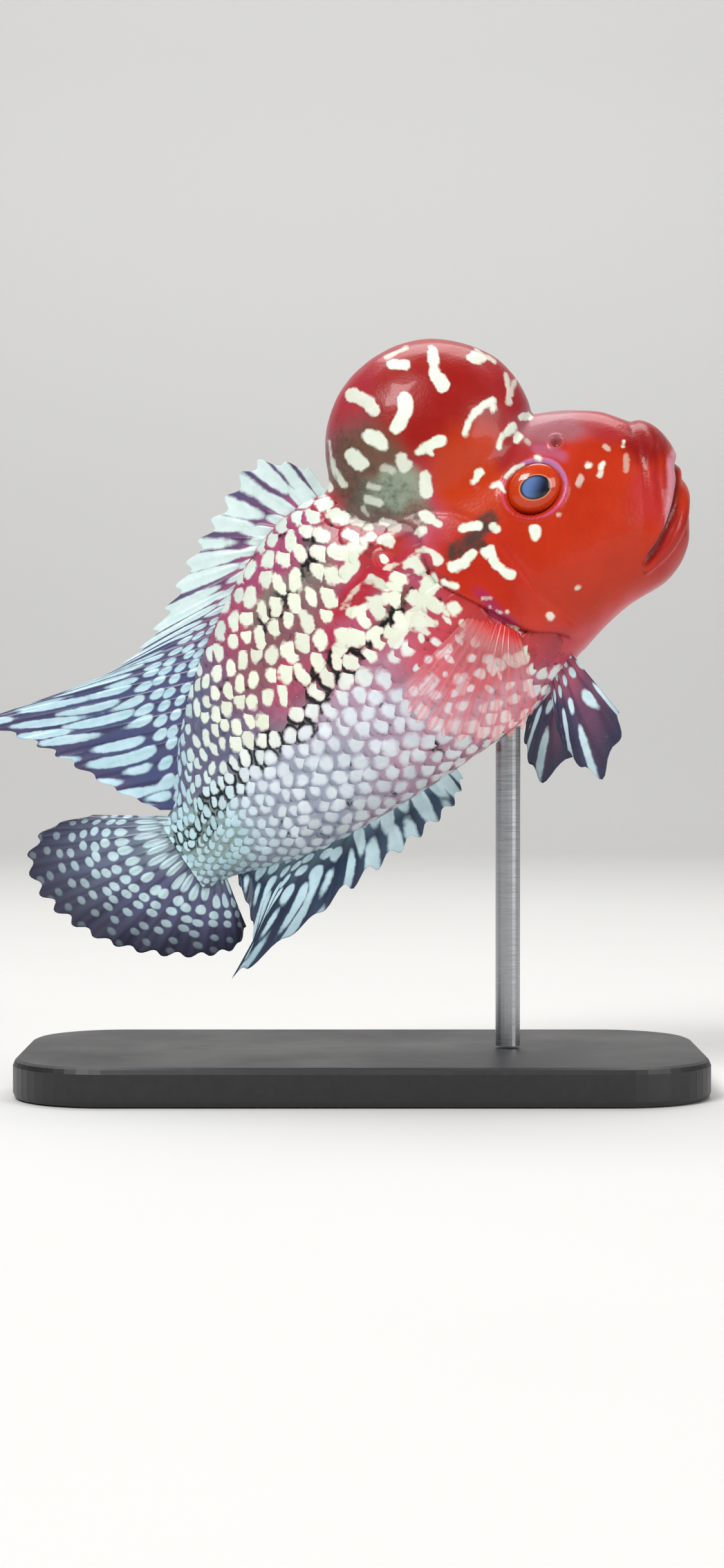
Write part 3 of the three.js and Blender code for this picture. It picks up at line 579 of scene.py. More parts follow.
def humpShare(points):
    scaled = (points - np.array(hump["centre"])) / np.array(hump["radii"])
    return np.linalg.norm(scaled, axis=1)


solids = [
    bodySolid(), ellipsoid(hump["centre"], hump["radii"]), lipSolid(upperLip), lipSolid(lowerLip),
]
skinPoints, skinQuads, skinEdges = remeshed(*joined(solids), skinSizes["voxel"])
print("stage: skin joined", len(skinPoints), "points")

for _ in range(skinSizes["smoothing"]):
    for pull in (0.5, -0.52):
        skinPoints += pull * (neighbourMean(skinPoints, skinEdges) - skinPoints)
# The hump runs into the sides of the head with no crease, but overhangs the brow.
atCrease = ridge(humpShare(skinPoints) - 1.0, 0.2)
atCrease *= 1 - smoothStep(19.5, 24.5, skinPoints[:, 0] - 0.5 * (skinPoints[:, 2] - 12))
for _ in range(skinSizes["creaseSmoothing"]):
    skinPoints += 0.5 * atCrease[:, None] * (neighbourMean(skinPoints, skinEdges) - skinPoints)
skinNormals = vertexNormals(skinPoints, skinQuads)
u, v = skinPoints[:, 0], skinPoints[:, 2]
marked = markPlace(skinPoints)
onSide = smoothStep(1.0, 3.0, np.abs(skinPoints[:, 1]))
rear = behindGill(u, v)
onHump = 1 - smoothStep(1.0, 1.12, humpShare(skinPoints))
scaled = smoothStep(-0.2, 1.0, rear) * (1 - onHump)

lift = -blend(skinSizes["inset"], skinSizes["insetUnderScales"], scaled)
coverEdge = onSide * smoothStep(-13, -10.5, v) * (1 - smoothStep(10.5, 12.6, v)) * (v < 12.4)
lift += skinSizes["gillLift"] * coverEdge * smoothStep(3.4, 0.2, -rear) * (rear < 0)
lift -= skinSizes["gillGroove"] * coverEdge * ridge(rear - 0.35, 0.45)
lift -= skinSizes["cheekGroove"] * onSide * ridge(lineReach(u, v, cheekLine)[0], 0.55)

mouthDistance, mouthSide, _ = lineReach(u, v, mouthCurve)
atMouth = smoothStep(28.0, 30.5, u)
lift -= skinSizes["mouthGroove"] * atMouth * ridge(mouthDistance, 0.42)

eyeU, eyeV = (u - eye["centre"][0]), (v - eye["centre"][2])
eyeReach = np.hypot(eyeU / eye["radii"][0], eyeV / eye["radii"][2])
nearEye = np.abs(skinPoints[:, 1]) > 5
lift -= eye["bowl"] * (1 - smoothStep(0.88, 1.06, eyeReach)) * nearEye
lift += eye["rim"] * ridge(eyeReach - eye["rimAt"], 0.1) * nearEye
lift -= eye["socket"] * (1 - smoothStep(0.78, 0.9, eyeReach)) * nearEye

nostrilReach = np.hypot(u - nostril["place"][0], v - nostril["place"][1]) / nostril["radius"]
lift -= nostril["depth"] * (1 - smoothStep(0.35, 0.95, nostrilReach)) * onSide
lift += skinSizes["nostrilRim"] * ridge(nostrilReach - 1.15, 0.28) * onSide
lift += softWave(skinPoints, *skinSizes["humpRelief"]) * onHump
lift += softWave(skinPoints, *skinSizes["fineRelief"]) * (1 - scaled)
skinPoints += skinNormals * lift[:, None]

skin = meshObject("skin", toWorld(skinPoints), skinQuads)
lipDistance = lineReach(u, v, [row[:3:2] for row in upperLip])[0]
lipShare = smoothStep(0.9, -0.4, lipDistance - 2.6) * smoothStep(33.0, 36.0, u)
# The upper lip shows a pale edge with a painted wet highlight on it, broad in front and a mere line at the
# corner of the mouth.
rimWidth = np.where(mouthSide < 0, 0.55 + 1.5 * smoothStep(32.5, 37.0, u), 0.16)
mouthRimHighlight = atMouth * (1 - smoothStep(0.4, 1.3, mouthDistance / rimWidth))
# A dark line of painted shade along the groove between the lips.
mouthGapShade = atMouth * ridge(mouthDistance, 0.3)
eyeAngle = np.arctan2(eyeV, eyeU)
ringWidth = eye["ringWidth"] * (1 + 0.4 * np.cos(eyeAngle - 0.3) + 0.2 * np.sin(3 * eyeAngle))
eyeRing = ridge(eyeReach - eye["ringAt"], ringWidth) * nearEye
ringCool = 0.5 + 0.5 * np.cos(eyeAngle - 0.7)
socketShare = (1 - smoothStep(0.92, 1.0, eyeReach)) * nearEye
setMarkings(skin.data, marked)
setField(skin.data, "lips", np.stack([lipShare, mouthRimHighlight, mouthGapShade], -1))
setField(skin.data, "rings", np.stack([eyeRing, socketShare, ringCool], -1))
print("stage: skin shaped")


# Scales

scaleSizes = {
    "spacing": 3.3,
    "tailSpacing": 1.35,
    "tailAt": -46,
    "fullAt": -9,
    "firstColumn": 19.0,
    "lastColumn": -41.2,
    "columnStep": 0.62,  # share of the spacing
    "bellyDensity": 1.3,
    "jitter": (0.09, 0.08),  # along and round the body, as shares of the spacing
    "overlap": 1.42,
    "lengthShare": 1.12,
    "thickness": 0.11,
    "lift": 0.18,
    "sunk": (0.24, 0.30),  # upper and lower face at the root, under the flank
    "edge": 0.03,
    "points": (10, 9),  # along and across one scale
    "seed": 23,
}
# The pearl on each scale: half its length and height as shares of the scale's spacing and width,
# how much these vary, the softness of its edge, and the share of the scales that have none.
scalePearls = {
    "flank": (0.28, 0.425, 0.26, 0.2, 0.03),
    "band": (0.24, 0.40, 0.15, 0.16, 0.0),
    "belly": (0.27, 0.43, 0.15, 0.42, 0.0),
    "breast": (0.15, 0.22, 0.5, 0.35, 0.25),
    "stripe": (0.12, 0.16, 0.4, 0.2, 0.85),
    "tail": (0.26, 0.40, 0.25, 0.25, 0.0),
}
pearlShift = 0.3  # from the scale's middle towards its free end
bakeMap = {
    "left": 0.02, "width": 0.94, "bottom": 0.01, "height": 0.48, "side": 0.5, "patch": 0.003,
    "tail": -41.5, "length": 62,
}
pectoralRoot = [(8.0, -2.6), (9.8, -8.6)]


def flankTable(rows=420, steps=161):
    # Places on the right flank by u and by the share of the way round from back to belly.
    us = np.linspace(-41.0, 39.0, rows)
    angle = np.linspace(np.pi / 2, -np.pi / 2, 400)
    table = np.zeros((rows, steps, 3))
    around = np.zeros(rows)
    for i, place in enumerate(us):
        ring = bodyPoint(np.full(len(angle), place), angle)
        run = np.concatenate([[0], np.cumsum(np.linalg.norm(np.diff(ring, axis=0), axis=1))])
        around[i] = run[-1]
        share = np.linspace(0, run[-1], steps)
        for k in range(3):
            table[i, :, k] = np.interp(share, run, ring[:, k])
    table[:, :, 1] *= -1
    return us, table, around


flankU, flankPoints, flankAround = flankTable()


def flankPlace(u, share):
    rows, steps = flankPoints.shape[:2]
    a = np.clip((u - flankU[0]) / (flankU[-1] - flankU[0]), 0, 1) * (rows - 1)
    b = np.clip(share, 0, 1) * (steps - 1)
    i, j = np.minimum(a.astype(int), rows - 2), np.minimum(b.astype(int), steps - 2)
    f, g = (a - i)[..., None], (b - j)[..., None]
    return (
        flankPoints[i, j] * (1 - f) * (1 - g) + flankPoints[i + 1, j] * f * (1 - g)
        + flankPoints[i, j + 1] * (1 - f) * g + flankPoints[i + 1, j + 1] * f * g
    )


def scaleRoots():
    # Columns of roots down the flank, each shifted half a step against the next. A root is its
    # place along the body, its share of the way down, the column's step, the length round the
    # flank there and the scale's width.
    roots = []
    place = scaleSizes["firstColumn"]
    column = 0
    ways = np.linspace(0, 1, 200)
    density = 1 + (scaleSizes["bellyDensity"] - 1) * smoothStep(0.42, 0.62, ways)
    filled = np.concatenate([[0], np.cumsum(density)]) / density.sum()
    while place > scaleSizes["lastColumn"]:
        near = smoothStep(scaleSizes["tailAt"], scaleSizes["fullAt"], place)
        step = blend(scaleSizes["tailSpacing"], scaleSizes["spacing"], near)
        around = np.interp(place, flankU, flankAround)
        count = max(6, round(around * density.mean() / step))
        for k in range(count):
            share = np.interp((k + 0.5 + 0.5 * (column % 2)) / count, filled, np.linspace(0, 1, 201))
            roots.append((place, share, step, around, step / np.interp(share, ways, density)))
        place -= step * scaleSizes["columnStep"]
        column += 1
    return np.array(roots)


def scalePoints(centreU, share, lengthHalf, half, around, along, across):
    # The points of all the scales, upper face first, lying on the flank and rising to the free end.
    def each(values):
        return values[:, None, None]

    # A plate narrows to its hidden root and is round at its free end.
    roundEnd = np.sqrt(np.clip(1 - (np.maximum(along, 0) * 0.93) ** 2.4, 0, 1))
    narrowed = across * np.where(along > 0, roundEnd, 1 - 0.25 * along * along)
    us = each(centreU) - along[None] * each(lengthHalf)
    shares = each(share) + narrowed[None] * each(half / around)
    places = flankPlace(us, shares)
    du = flankPlace(us + 0.15, shares) - flankPlace(us - 0.15, shares)
    dg = flankPlace(us, shares + 0.004) - flankPlace(us, shares - 0.004)
    normal = np.cross(dg, du)
    normal /= np.maximum(np.linalg.norm(normal, axis=-1), 1e-9)[..., None]
    normal *= np.where(normal[..., 1:2] > 0, -1, 1)
    crown = 1 - 0.55 * (along**2 * 0.5 + across**2 * 0.5)
    rimDrop = 0.05 * np.clip(np.hypot(along, across) - 0.75, 0, 1) / 0.25
    rise = (along * 0.5 + 0.5) * scaleSizes["lift"]
    upperSunk, lowerSunk = scaleSizes["sunk"]
    top = places + normal * (rise + scaleSizes["thickness"] * crown - rimDrop - upperSunk)[None, ..., None]
    bottom = places + normal * (rise - lowerSunk)[None, ..., None]
    rim = (np.abs(along) > 0.999) | (np.abs(across) > 0.999)
    bottom[:, rim] = top[:, rim] - normal[:, rim] * scaleSizes["edge"]
    number = len(centreU)
    points = np.concatenate([top.reshape(number, -1, 3), bottom.reshape(number, -1, 3)], 1)
    return points.reshape(-1, 3), narrowed


def pearlFields(source, cu, cv, share, roots, lengthHalf, half, along, narrowed):
    # What a scale's place on the fish makes of its pearl: where each point lies on the pearl, and
    # the pearl's softness and colour.
    number = len(cu)
    rand = source.uniform(0, 1, (number, 6))
    clouded = {key: cloudShare(cu, cv, cloud) for key, cloud in clouds.items()}
    shares = {
        "band": shadowShare(cu, cv) * smoothStep(-3, -7, cu),
        "belly": np.maximum(clouded["lilac belly"], clouded["blue belly"]),
        "breast": clouded["rose breast"],
        "stripe": np.maximum(clouded["red stripe"], clouded["red nape"]),
        "tail": smoothStep(-24, -38, cu),
    }
    looks = np.tile(scalePearls["flank"], (number, 1))
    for kind, amount in shares.items():
        looks = blend(looks, np.array(scalePearls[kind]), amount[:, None])
    grown = 1 + looks[:, 2] * (2 * rand[:, :2].T - 1)
    grown = np.where(rand[:, 2] < looks[:, 4], 0.05, grown)
    lean = 0.8 * (rand[:, 3] - 0.5)
    c, s = np.cos(lean)[:, None], np.sin(lean)[:, None]
    middle = [pearlShift + 0.16 * (rand[:, 4] - 0.5), 0.16 * (rand[:, 5] - 0.5)]
    alongPearl = (along.ravel()[None] - middle[0][:, None]) * lengthHalf[:, None]
    acrossPearl = (narrowed.ravel()[None] - middle[1][:, None]) * half[:, None]
    lilac = np.maximum(shares["belly"], 0.8 * smoothStep(0.72, 0.9, share))
    place = np.stack([
        (alongPearl * c + acrossPearl * s) / (looks[:, 0] * roots[:, 2] * grown[0])[:, None],
        (acrossPearl * c - alongPearl * s) / (looks[:, 1] * roots[:, 4] * grown[1])[:, None],
        np.repeat(lilac[:, None], along.size, 1),
    ], -1)
    bright = 0.95 + 0.16 * (rand[:, 2] - 0.5) + 0.1 * np.maximum(shares["belly"], shares["tail"])
    nearBack = smoothStep(0.2, 0.04, share)
    cool = np.clip(shares["tail"] + 0.3 * shares["belly"] + 0.35 * nearBack, 0, 1)
    info = np.stack([looks[:, 3], cool, bright], -1)
    return np.tile(place, (1, 2, 1)).reshape(-1, 3), np.repeat(info, 2 * along.size, 0)


def addBakeMap(mesh, rootX, rootY, along, across):
    # Each scale's patch of the map, for its two faces side by side, lies at the scale's root.
    local = np.tile(np.stack([along.ravel(), across.ravel()], -1), (2, 1)) * bakeMap["patch"] * 0.48
    local[along.size:, 0] += bakeMap["patch"] * 1.1
    uv = (np.stack([rootX, rootY], -1)[:, None] + local[None]).reshape(-1, 2)
    loops = np.zeros(len(mesh.loops), int)
    mesh.loops.foreach_get("vertex_index", loops)
    layer = mesh.uv_layers.new(name="OFBake")
    layer.data.foreach_set("uv", uv[loops].astype(np.float32).ravel())


def scalePiece(name, mirrored):
    source = np.random.default_rng(scaleSizes["seed"] + mirrored)
    roots = scaleRoots()
    jitter = np.clip(source.normal(0, 1, (len(roots), 2)), -2, 2) * scaleSizes["jitter"]
    centreU = roots[:, 0] + jitter[:, 0] * roots[:, 2]
    share = roots[:, 1] + jitter[:, 1] * roots[:, 2] / roots[:, 3]
    centre = flankPlace(centreU, share)
    cu, cv = centre[:, 0], centre[:, 2]
    keep = (behindGill(cu, cv) > 0.9) & (humpShare(centre) > 1.03) & (cu < 13)
    keep &= lineReach(cu, cv, pectoralRoot)[0] > 0.9
    roots, centreU, share, cu, cv = (values[keep] for values in (roots, centreU, share, cu, cv))
    lengthHalf = roots[:, 2] * scaleSizes["overlap"] / 2 * scaleSizes["lengthShare"]
    half = roots[:, 4] * scaleSizes["overlap"] / 2
    steps = [np.linspace(-1, 1, count) for count in scaleSizes["points"]]
    along, across = np.meshgrid(*steps, indexing="ij")
    flat, narrowed = scalePoints(centreU, share, lengthHalf, half, roots[:, 3], along, across)
    firstPoints = np.arange(len(cu)) * 2 * along.size
    faces = (plateFaces(*scaleSizes["points"])[None] + firstPoints[:, None, None]).reshape(-1, 4)
    if mirrored:
        flat[:, 1] *= -1
    else:
        faces = faces[:, ::-1]
    piece = meshObject(name, toWorld(flat), faces)
    place, info = pearlFields(source, cu, cv, share, roots, lengthHalf, half, along, narrowed)
    setField(piece.data, "scalePlace", place)
    setField(piece.data, "scaleInfo", info)
    setMarkings(piece.data, markPlace(flat))
    # The map is an unwrap of the flank, the right one below the left one.
    rootX = bakeMap["left"] + bakeMap["width"] * (cu - bakeMap["tail"]) / bakeMap["length"]
    rootY = bakeMap["bottom"] + bakeMap["side"] * mirrored + bakeMap["height"] * share
    addBakeMap(piece.data, rootX, rootY, along, across)
    print("stage:", name, len(cu), "scales", len(faces) * 2, "triangles")
    return piece


scalesRight = scalePiece("scales_right", 0)
scalesLeft = scalePiece("scales_left", 1)


# Fins

finSizes = {
    "membrane": 0.3, "rayWidth": 0.13, "branchGap": 0.42, "segment": 0.45, "webDip": 0.035,
    "perRay": 8, "rows": 46,  # columns for each ray, rows from root to edge
    "seed": 40, "pairSeed": 60,
}
rootSink = 1.6
# A fin's edge runs from front to rear, as do its shares s. Reach is how far the web runs along its
# rays, bend how far the fin leans to the left, and branching how much its rays split. The root of
# the dorsal and anal fins is where they start and end along the body.
fins = {
    "dorsal_fin": {
        "edge": [
            (0.8, 25.0), (-4.8, 29.7), (-12.0, 27.2), (-18.6, 24.2), (-25.0, 20.4), (-31.4, 17.8),
            (-39.0, 18.0), (-49.5, 20.8), (-53.6, 21.8), (-49.6, 16.4), (-46.6, 11.0), (-43.4, 4.4),
            (-39.9, -1.0),
        ],
        "root": (0.9, -37.6), "rays": 28, "thick": 2.0, "ridge": 0.2,
        "reach": lambda s: np.where(s < 0.6, 0.9, 0.965),
        "bend": lambda s, r: 1.3 * np.sin(np.pi * s * 1.4) * r * r,
        "branching": lambda s: smoothStep(0.5, 0.62, s),
    },
    "anal_fin": {
        "edge": [
            (-5.2, -19.6), (-7.6, -21.6), (-12.6, -22.6), (-18.4, -23.0), (-25.4, -23.4),
            (-34.0, -23.9), (-44.4, -24.4), (-40.2, -22.4), (-37.9, -18.6), (-36.9, -14.6),
        ],
        "root": (-4.9, -35.6), "rays": 17, "thick": 1.8, "ridge": 0.2,
        "reach": lambda s: np.where(s < 0.5, 0.86, 0.96),
        "bend": lambda s, r: -1.2 * s * r * r,
        "branching": lambda s: smoothStep(0.4, 0.55, s),
    },
    "caudal_fin": {
        "edge": [
            (-47.6, 3.4), (-53.6, 5.4), (-58.0, 3.6), (-59.3, -0.8), (-58.6, -5.4), (-56.6, -9.9),
            (-53.7, -13.9), (-50.0, -17.4), (-45.8, -20.2), (-42.0, -21.4), (-39.4, -19.8),
        ],
        "root": ((-38.6, -2.9), (-37.6, -12.4)), "rays": 17, "thick": 1.5, "ridge": 0.2,
        "reach": lambda s: 0.975 + 0 * s,
        "bend": lambda s, r: 2.6 * r * r * (0.35 + 0.65 * s),
        "branching": lambda s: 1 + 0 * s,
    },
}
pairedShape = {
    "ridge": 0.16,
    "reach": lambda s: 0.95 + 0 * s,
    "bend": lambda s, r: -0.8 * np.sin(np.pi * s) * r,
    "branching": lambda s: 1 + 0 * s,
}
# Across is half the distance between the pair's roots. Turned out and swept back are in degrees,
# the latter for the right and the left fin.
pairedFins = {
    "pectoral": {
        "root": ((7.2, -2.6), (9.6, -8.4)),
        "edge": [(-5.6, -5.2), (-6.8, -9.0), (-5.2, -13.0), (-1.6, -16.6), (3.4, -18.2), (7.8, -16.4)],
        "across": 9.5, "turnOut": 24, "swept": (0, 0), "pull": (1.0, 0.4), "rays": 13, "thick": 1.1,
        **pairedShape,
    },
    "pelvic": {
        "root": ((15.1, -13.6), (11.1, -15.6)),
        "edge": [(15.9, -23.4), (14.4, -26.2), (9.4, -29.4), (7.9, -26.4), (7.6, -23.6), (8.1, -21.0)],
        "across": 3.6, "turnOut": 17, "swept": (0, 26), "pull": (0, 0.6), "rays": 6, "thick": 1.2,
        **pairedShape,
    },
}


def finRoot(name, ends):
    # The line a fin grows from: straight at the tail, or sunk under the back or the belly.
    if name == "caudal_fin":
        top, bottom = np.array(ends)
        return lambda s: blend(top, bottom, s[:, None])
    which, sink = (1, -rootSink) if name == "dorsal_fin" else (2, rootSink)

    def along(s):
        places = blend(ends[0], ends[1], s)
        return np.stack([places, np.interp(places, profile[:, 0], profile[:, which]) + sink], -1)

    return along


def finPlate(fin, root, seed):
    # A plate of fine columns and rows, swelling over each ray and over its branches.
    source = np.random.default_rng(seed)
    rays, reach = fin["rays"], fin["reach"]
    columns = (rays - 1) * finSizes["perRay"] + 1
    s = np.linspace(0, 1, columns)
    ray = s * (rays - 1)
    offset = ray - np.round(ray)
    away = np.abs(offset) * 2  # 0 on a ray, 1 halfway between two
    ragged = np.interp(ray, np.arange(rays), source.uniform(-1, 1, rays))
    tip = reach(s) + (1 - reach(s)) * (1 - smoothStep(0.0, 0.85, away))
    tip = tip - finSizes["webDip"] * smoothStep(0.2, 1, away) * (0.6 + 0.4 * ragged)
    r = np.linspace(0, 1, finSizes["rows"] + 1)[None, :] * tip[:, None]
    rootPoint, edgePoint = root(s), smoothRows(fin["edge"])(s)
    u = blend(rootPoint[:, None, 0], edgePoint[:, None, 0], r)
    v = blend(rootPoint[:, None, 1], edgePoint[:, None, 1], r)
    length = np.hypot(*(edgePoint - rootPoint).T)[:, None]
    split = fin["branching"](s)[:, None] * smoothStep(0.35, 0.95, r) * finSizes["branchGap"]
    bump = ridge(np.abs(offset)[:, None] - split / 2, finSizes["rayWidth"])
    taper = np.minimum(1, r * 2.4) ** 0.7
    web = blend(fin["thick"], finSizes["membrane"], taper) * (1 - 0.45 * smoothStep(0.6, 1, r))
    segments = 2 * np.pi * r * length / finSizes["segment"]
    joints = 1 + 0.12 * np.sin(segments) * smoothStep(0.25, 0.5, r)
    thickness = web + 2 * fin["ridge"] * (1 - 0.7 * r) * bump * joints
    ripple = 0.12 * np.sin(ray[:, None] * np.pi + 3 * r) * r
    y = fin["bend"](s[:, None], r) + ripple
    points = [np.stack([u, y + side * thickness / 2, v], -1).reshape(-1, 3) for side in (-1, 1)]
    place = np.stack([ray[:, None] + 0 * r, r, r * length], -1).reshape(-1, 3)
    extra = np.stack([bump, s[:, None] + 0 * r, away[:, None] + 0 * r], -1).reshape(-1, 3)
    return np.concatenate(points), np.tile(place, (2, 1)), np.tile(extra, (2, 1))


def finPiece(name, fin, points, place, extra):
    faces = plateFaces((fin["rays"] - 1) * finSizes["perRay"] + 1, finSizes["rows"] + 1)
    a, b, c, d = (points[faces[:, k]] for k in range(4))
    volume = np.sum(np.cross(b - a, c - a) * a) + np.sum(np.cross(c - a, d - a) * a)
    if volume < 0:
        faces = faces[:, ::-1]
    piece = meshObject(name, toWorld(points), faces)
    setField(piece.data, "finPlace", place)
    setField(piece.data, "finExtra", extra)
    return piece


def turned(points, angle, axis):
    c, s = math.cos(angle), math.sin(angle)
    x, y, z = points.T
    if axis == "y":
        return np.stack([x * c + z * s, y, -x * s + z * c], -1)
    return np.stack([x, y * c - z * s, y * s + z * c], -1)


finPieces = {}
for number, (name, fin) in enumerate(fins.items()):
    made = finPlate(fin, finRoot(name, fin["root"]), finSizes["seed"] + number)
    finPieces[name] = finPiece(name + "_membrane", fin, *made)

for number, (name, fin) in enumerate(pairedFins.items()):
    start, end = np.array(fin["root"])
    pull = np.array(fin["pull"])
    hinge = (start + end) / 2
    tip = smoothRows(fin["edge"])(0.5)
    below = (end[1] - start[1]) * (tip[0] - hinge[0]) - (end[0] - start[0]) * (tip[1] - hinge[1])
    lean = math.atan2(start[1] - end[1], end[0] - start[0])
    turnOut = math.radians(fin["turnOut"]) * np.sign(-below)
    for sideNumber, side in enumerate(("right", "left")):
        seed = finSizes["pairSeed"] + number * 2 + sideNumber
        points, place, extra = finPlate(fin, lambda s: blend(start, end, s[:, None]) + pull, seed)
        points = points - np.array([hinge[0], 0, hinge[1]])
        points = turned(points, math.radians(fin["swept"][sideNumber]) - lean, "y")
        points = points * np.array([1, 1, 1 / math.cos(turnOut)])
        points = turned(turned(points, turnOut, "x"), lean, "y")
        points = points + np.array([hinge[0], -fin["across"], hinge[1]])
        if side == "left":
            points = points * np.array([1, -1, 1])
        fullName = f"{name}_fin_{side}"
        finPieces[fullName] = finPiece(fullName + "_membrane", fin, points, place, extra)
print("stage: fins made")


# Eyes

eyePieces = {}
for side, sign in (("right", -1), ("left", 1)):
    centre = np.array(eye["centre"]) * (1, sign, 1)
    points, faces = ellipsoid(centre, eye["radii"])
    ball = meshObject(f"eyeball_{side}", toWorld(points), faces)
    x, y, z = (points - centre).T
    lean = math.radians(eye["lean"])
    across = x * math.cos(lean) + z * math.sin(lean)
    up = z * math.cos(lean) - x * math.sin(lean)
    setField(ball.data, "eyePlace", np.stack([across, up, sign * y / eye["radii"][1]], -1))
    eyePieces[side] = ball
print("stage: eyes made")


# Materials

class Wire:
    # The output of a node. A sum written with wires makes a Math node for each of its steps.
    def __init__(self, socket):
        self.socket = socket

    def __add__(self, other):
        return maths("ADD", self, other)

    def __sub__(self, other):
        return maths("SUBTRACT", self, other)

    def __rsub__(self, other):
        return maths("SUBTRACT", other, self)

    def __mul__(self, other):
        return maths("MULTIPLY", self, other)

    def __truediv__(self, other):
        return maths("DIVIDE", self, other)


def fill(node, inputs):
    # Wires are linked, and plain values are set on the node's own sockets.
    for key, value in inputs.items():
        if isinstance(value, Wire):
            node.id_data.links.new(value.socket, node.inputs[key])
        else:
            node.inputs[key].default_value = value
    return node


def addNode(tree, kind, inputs, **settings):
    made = tree.nodes.new("ShaderNode" + kind)
    for key, value in settings.items():
        setattr(made, key, value)
    return fill(made, inputs)


def worked(kind, inputs, output=0, **settings):
    # One output of a new node, put into the tree that its first wire comes from.
    tree = next(value.socket.id_data for value in inputs.values() if isinstance(value, Wire))
    return Wire(addNode(tree, kind, inputs, **settings).outputs[output])


def maths(operation, *values, clamp=False):
    return worked("Math", dict(enumerate(values)), operation=operation, use_clamp=clamp)


def mixColour(share, a, b, how="MIX"):
    # Colours given as three numbers are screen colours.
    a, b = (paint(*colour) if isinstance(colour, tuple) else colour for colour in (a, b))
    return worked("Mix", {0: share, 6: a, 7: b}, 2, data_type="RGBA", blend_type=how)


def ramp(value, low, high, bottom=0.0, top=1.0):
    inputs = {"Value": value, "From Min": low, "From Max": high, "To Min": bottom, "To Max": top}
    return worked("MapRange", inputs, interpolation_type="SMOOTHSTEP")


def noise(vector, scale, detail=3.0, roughness=0.55):
    return worked("TexNoise", {"Vector": vector, "Scale": scale, "Detail": detail, "Roughness": roughness})


def grey(level):
    return worked("CombineColor", {0: level, 1: level, 2: level})


def objectPlace(tree):
    return Wire(addNode(tree, "TexCoord", {}).outputs["Object"])


def split3(vector):
    return [Wire(output) for output in addNode(vector.socket.id_data, "SeparateXYZ", {0: vector}).outputs]


def colourField(tree, name):
    return Wire(addNode(tree, "Attribute", {}, attribute_name=name).outputs["Color"])


def vectorFields(tree, *names):
    # The three numbers that each named field holds.
    made = [addNode(tree, "Attribute", {}, attribute_name=name) for name in names]
    return [split3(Wire(node.outputs["Vector"])) for node in made]


def newGroup(name, inputs, outputs):
    group = bpy.data.node_groups.new(name, "ShaderNodeTree")
    for label, value in inputs.items():
        kind = "NodeSocketColor" if isinstance(value, tuple) else "NodeSocketFloat"
        group.interface.new_socket(label, in_out="INPUT", socket_type=kind).default_value = value
    for label in outputs:
        kind = "NodeSocketColor" if label == "Colour" else "NodeSocketFloat"
        group.interface.new_socket(label, in_out="OUTPUT", socket_type=kind)
    source = group.nodes.new("NodeGroupInput")
    return group, {label: Wire(source.outputs[label]) for label in inputs}


def useGroup(tree, group, inputs):
    made = addNode(tree, "Group", inputs, node_tree=group)
    return {output.name: Wire(output) for output in made.outputs}


def newMaterial(name):
    made = bpy.data.materials.new(name)
    made.use_nodes = True
    return made, made.node_tree


def dress(made, inputs, height, strength, distance=0.0001):
    # The inputs of the material's shader, and its fine relief.
    bump = addNode(made.node_tree, "Bump", {"Strength": strength, "Distance": distance, "Height": height})
    fill(made.node_tree.nodes["Principled BSDF"], {**inputs, "Normal": Wire(bump.outputs[0])})
    return made


def wetInputs(colour, roughness, coat=0.2, coatRoughness=0.1):
    return {
        "Base Color": colour, "Roughness": roughness, "Coat Weight": coat, "Coat Roughness": coatRoughness,
        "IOR": 1.4, "Specular IOR Level": 0.3,
    }


white = (1, 1, 1, 1)

# Uneven flesh: tone and roughness that drift over the surface, and fine relief.
fleshLook = {"driftScale": 260.0, "grainScale": 2600.0, "roughnessDrift": 0.25}
fleshGroup, given = newGroup(
    "unevenFlesh", {"Colour": white, "Mottle": 0.1, "Wetness": 0.3}, ("Colour", "Roughness", "Height"),
)
place = objectPlace(fleshGroup)
drift = noise(place, fleshLook["driftScale"], 4.0) - 0.5
fill(fleshGroup.nodes.new("NodeGroupOutput"), {
    "Colour": mixColour(1.0, given["Colour"], grey(drift * (given["Mottle"] * 2.0) + 1.0), "MULTIPLY"),
    "Roughness": drift * fleshLook["roughnessDrift"] + given["Wetness"],
    "Height": noise(place, fleshLook["grainScale"]),
})

# Pearl paint: a pale deposit, ivory, lilac or blue-green, laid over the ground colour by a mask.
pearlLook = {
    "driftScale": 700.0,
    "warm": ((226, 232, 205), (246, 250, 236)),
    "cool": ((150, 200, 214), (214, 232, 240)),
    "lilac": ((220, 222, 230), (246, 246, 248)),
}
pearlGroup, given = newGroup(
    "pearlPaint", {"Ground": white, "Mask": 0.0, "Coolness": 0.0, "Lilac": 0.0, "Brightness": 1.0},
    ("Colour",),
)
drift = noise(objectPlace(pearlGroup), pearlLook["driftScale"])
warm, cool, lilac = (mixColour(drift, *pearlLook[kind]) for kind in ("warm", "cool", "lilac"))
pearl = mixColour(given["Coolness"], mixColour(given["Lilac"], warm, lilac), cool)
pearl = mixColour(1.0, pearl, grey(given["Brightness"]), "MULTIPLY")
fill(pearlGroup.nodes.new("NodeGroupOutput"), {"Colour": mixColour(given["Mask"], given["Ground"], pearl)})


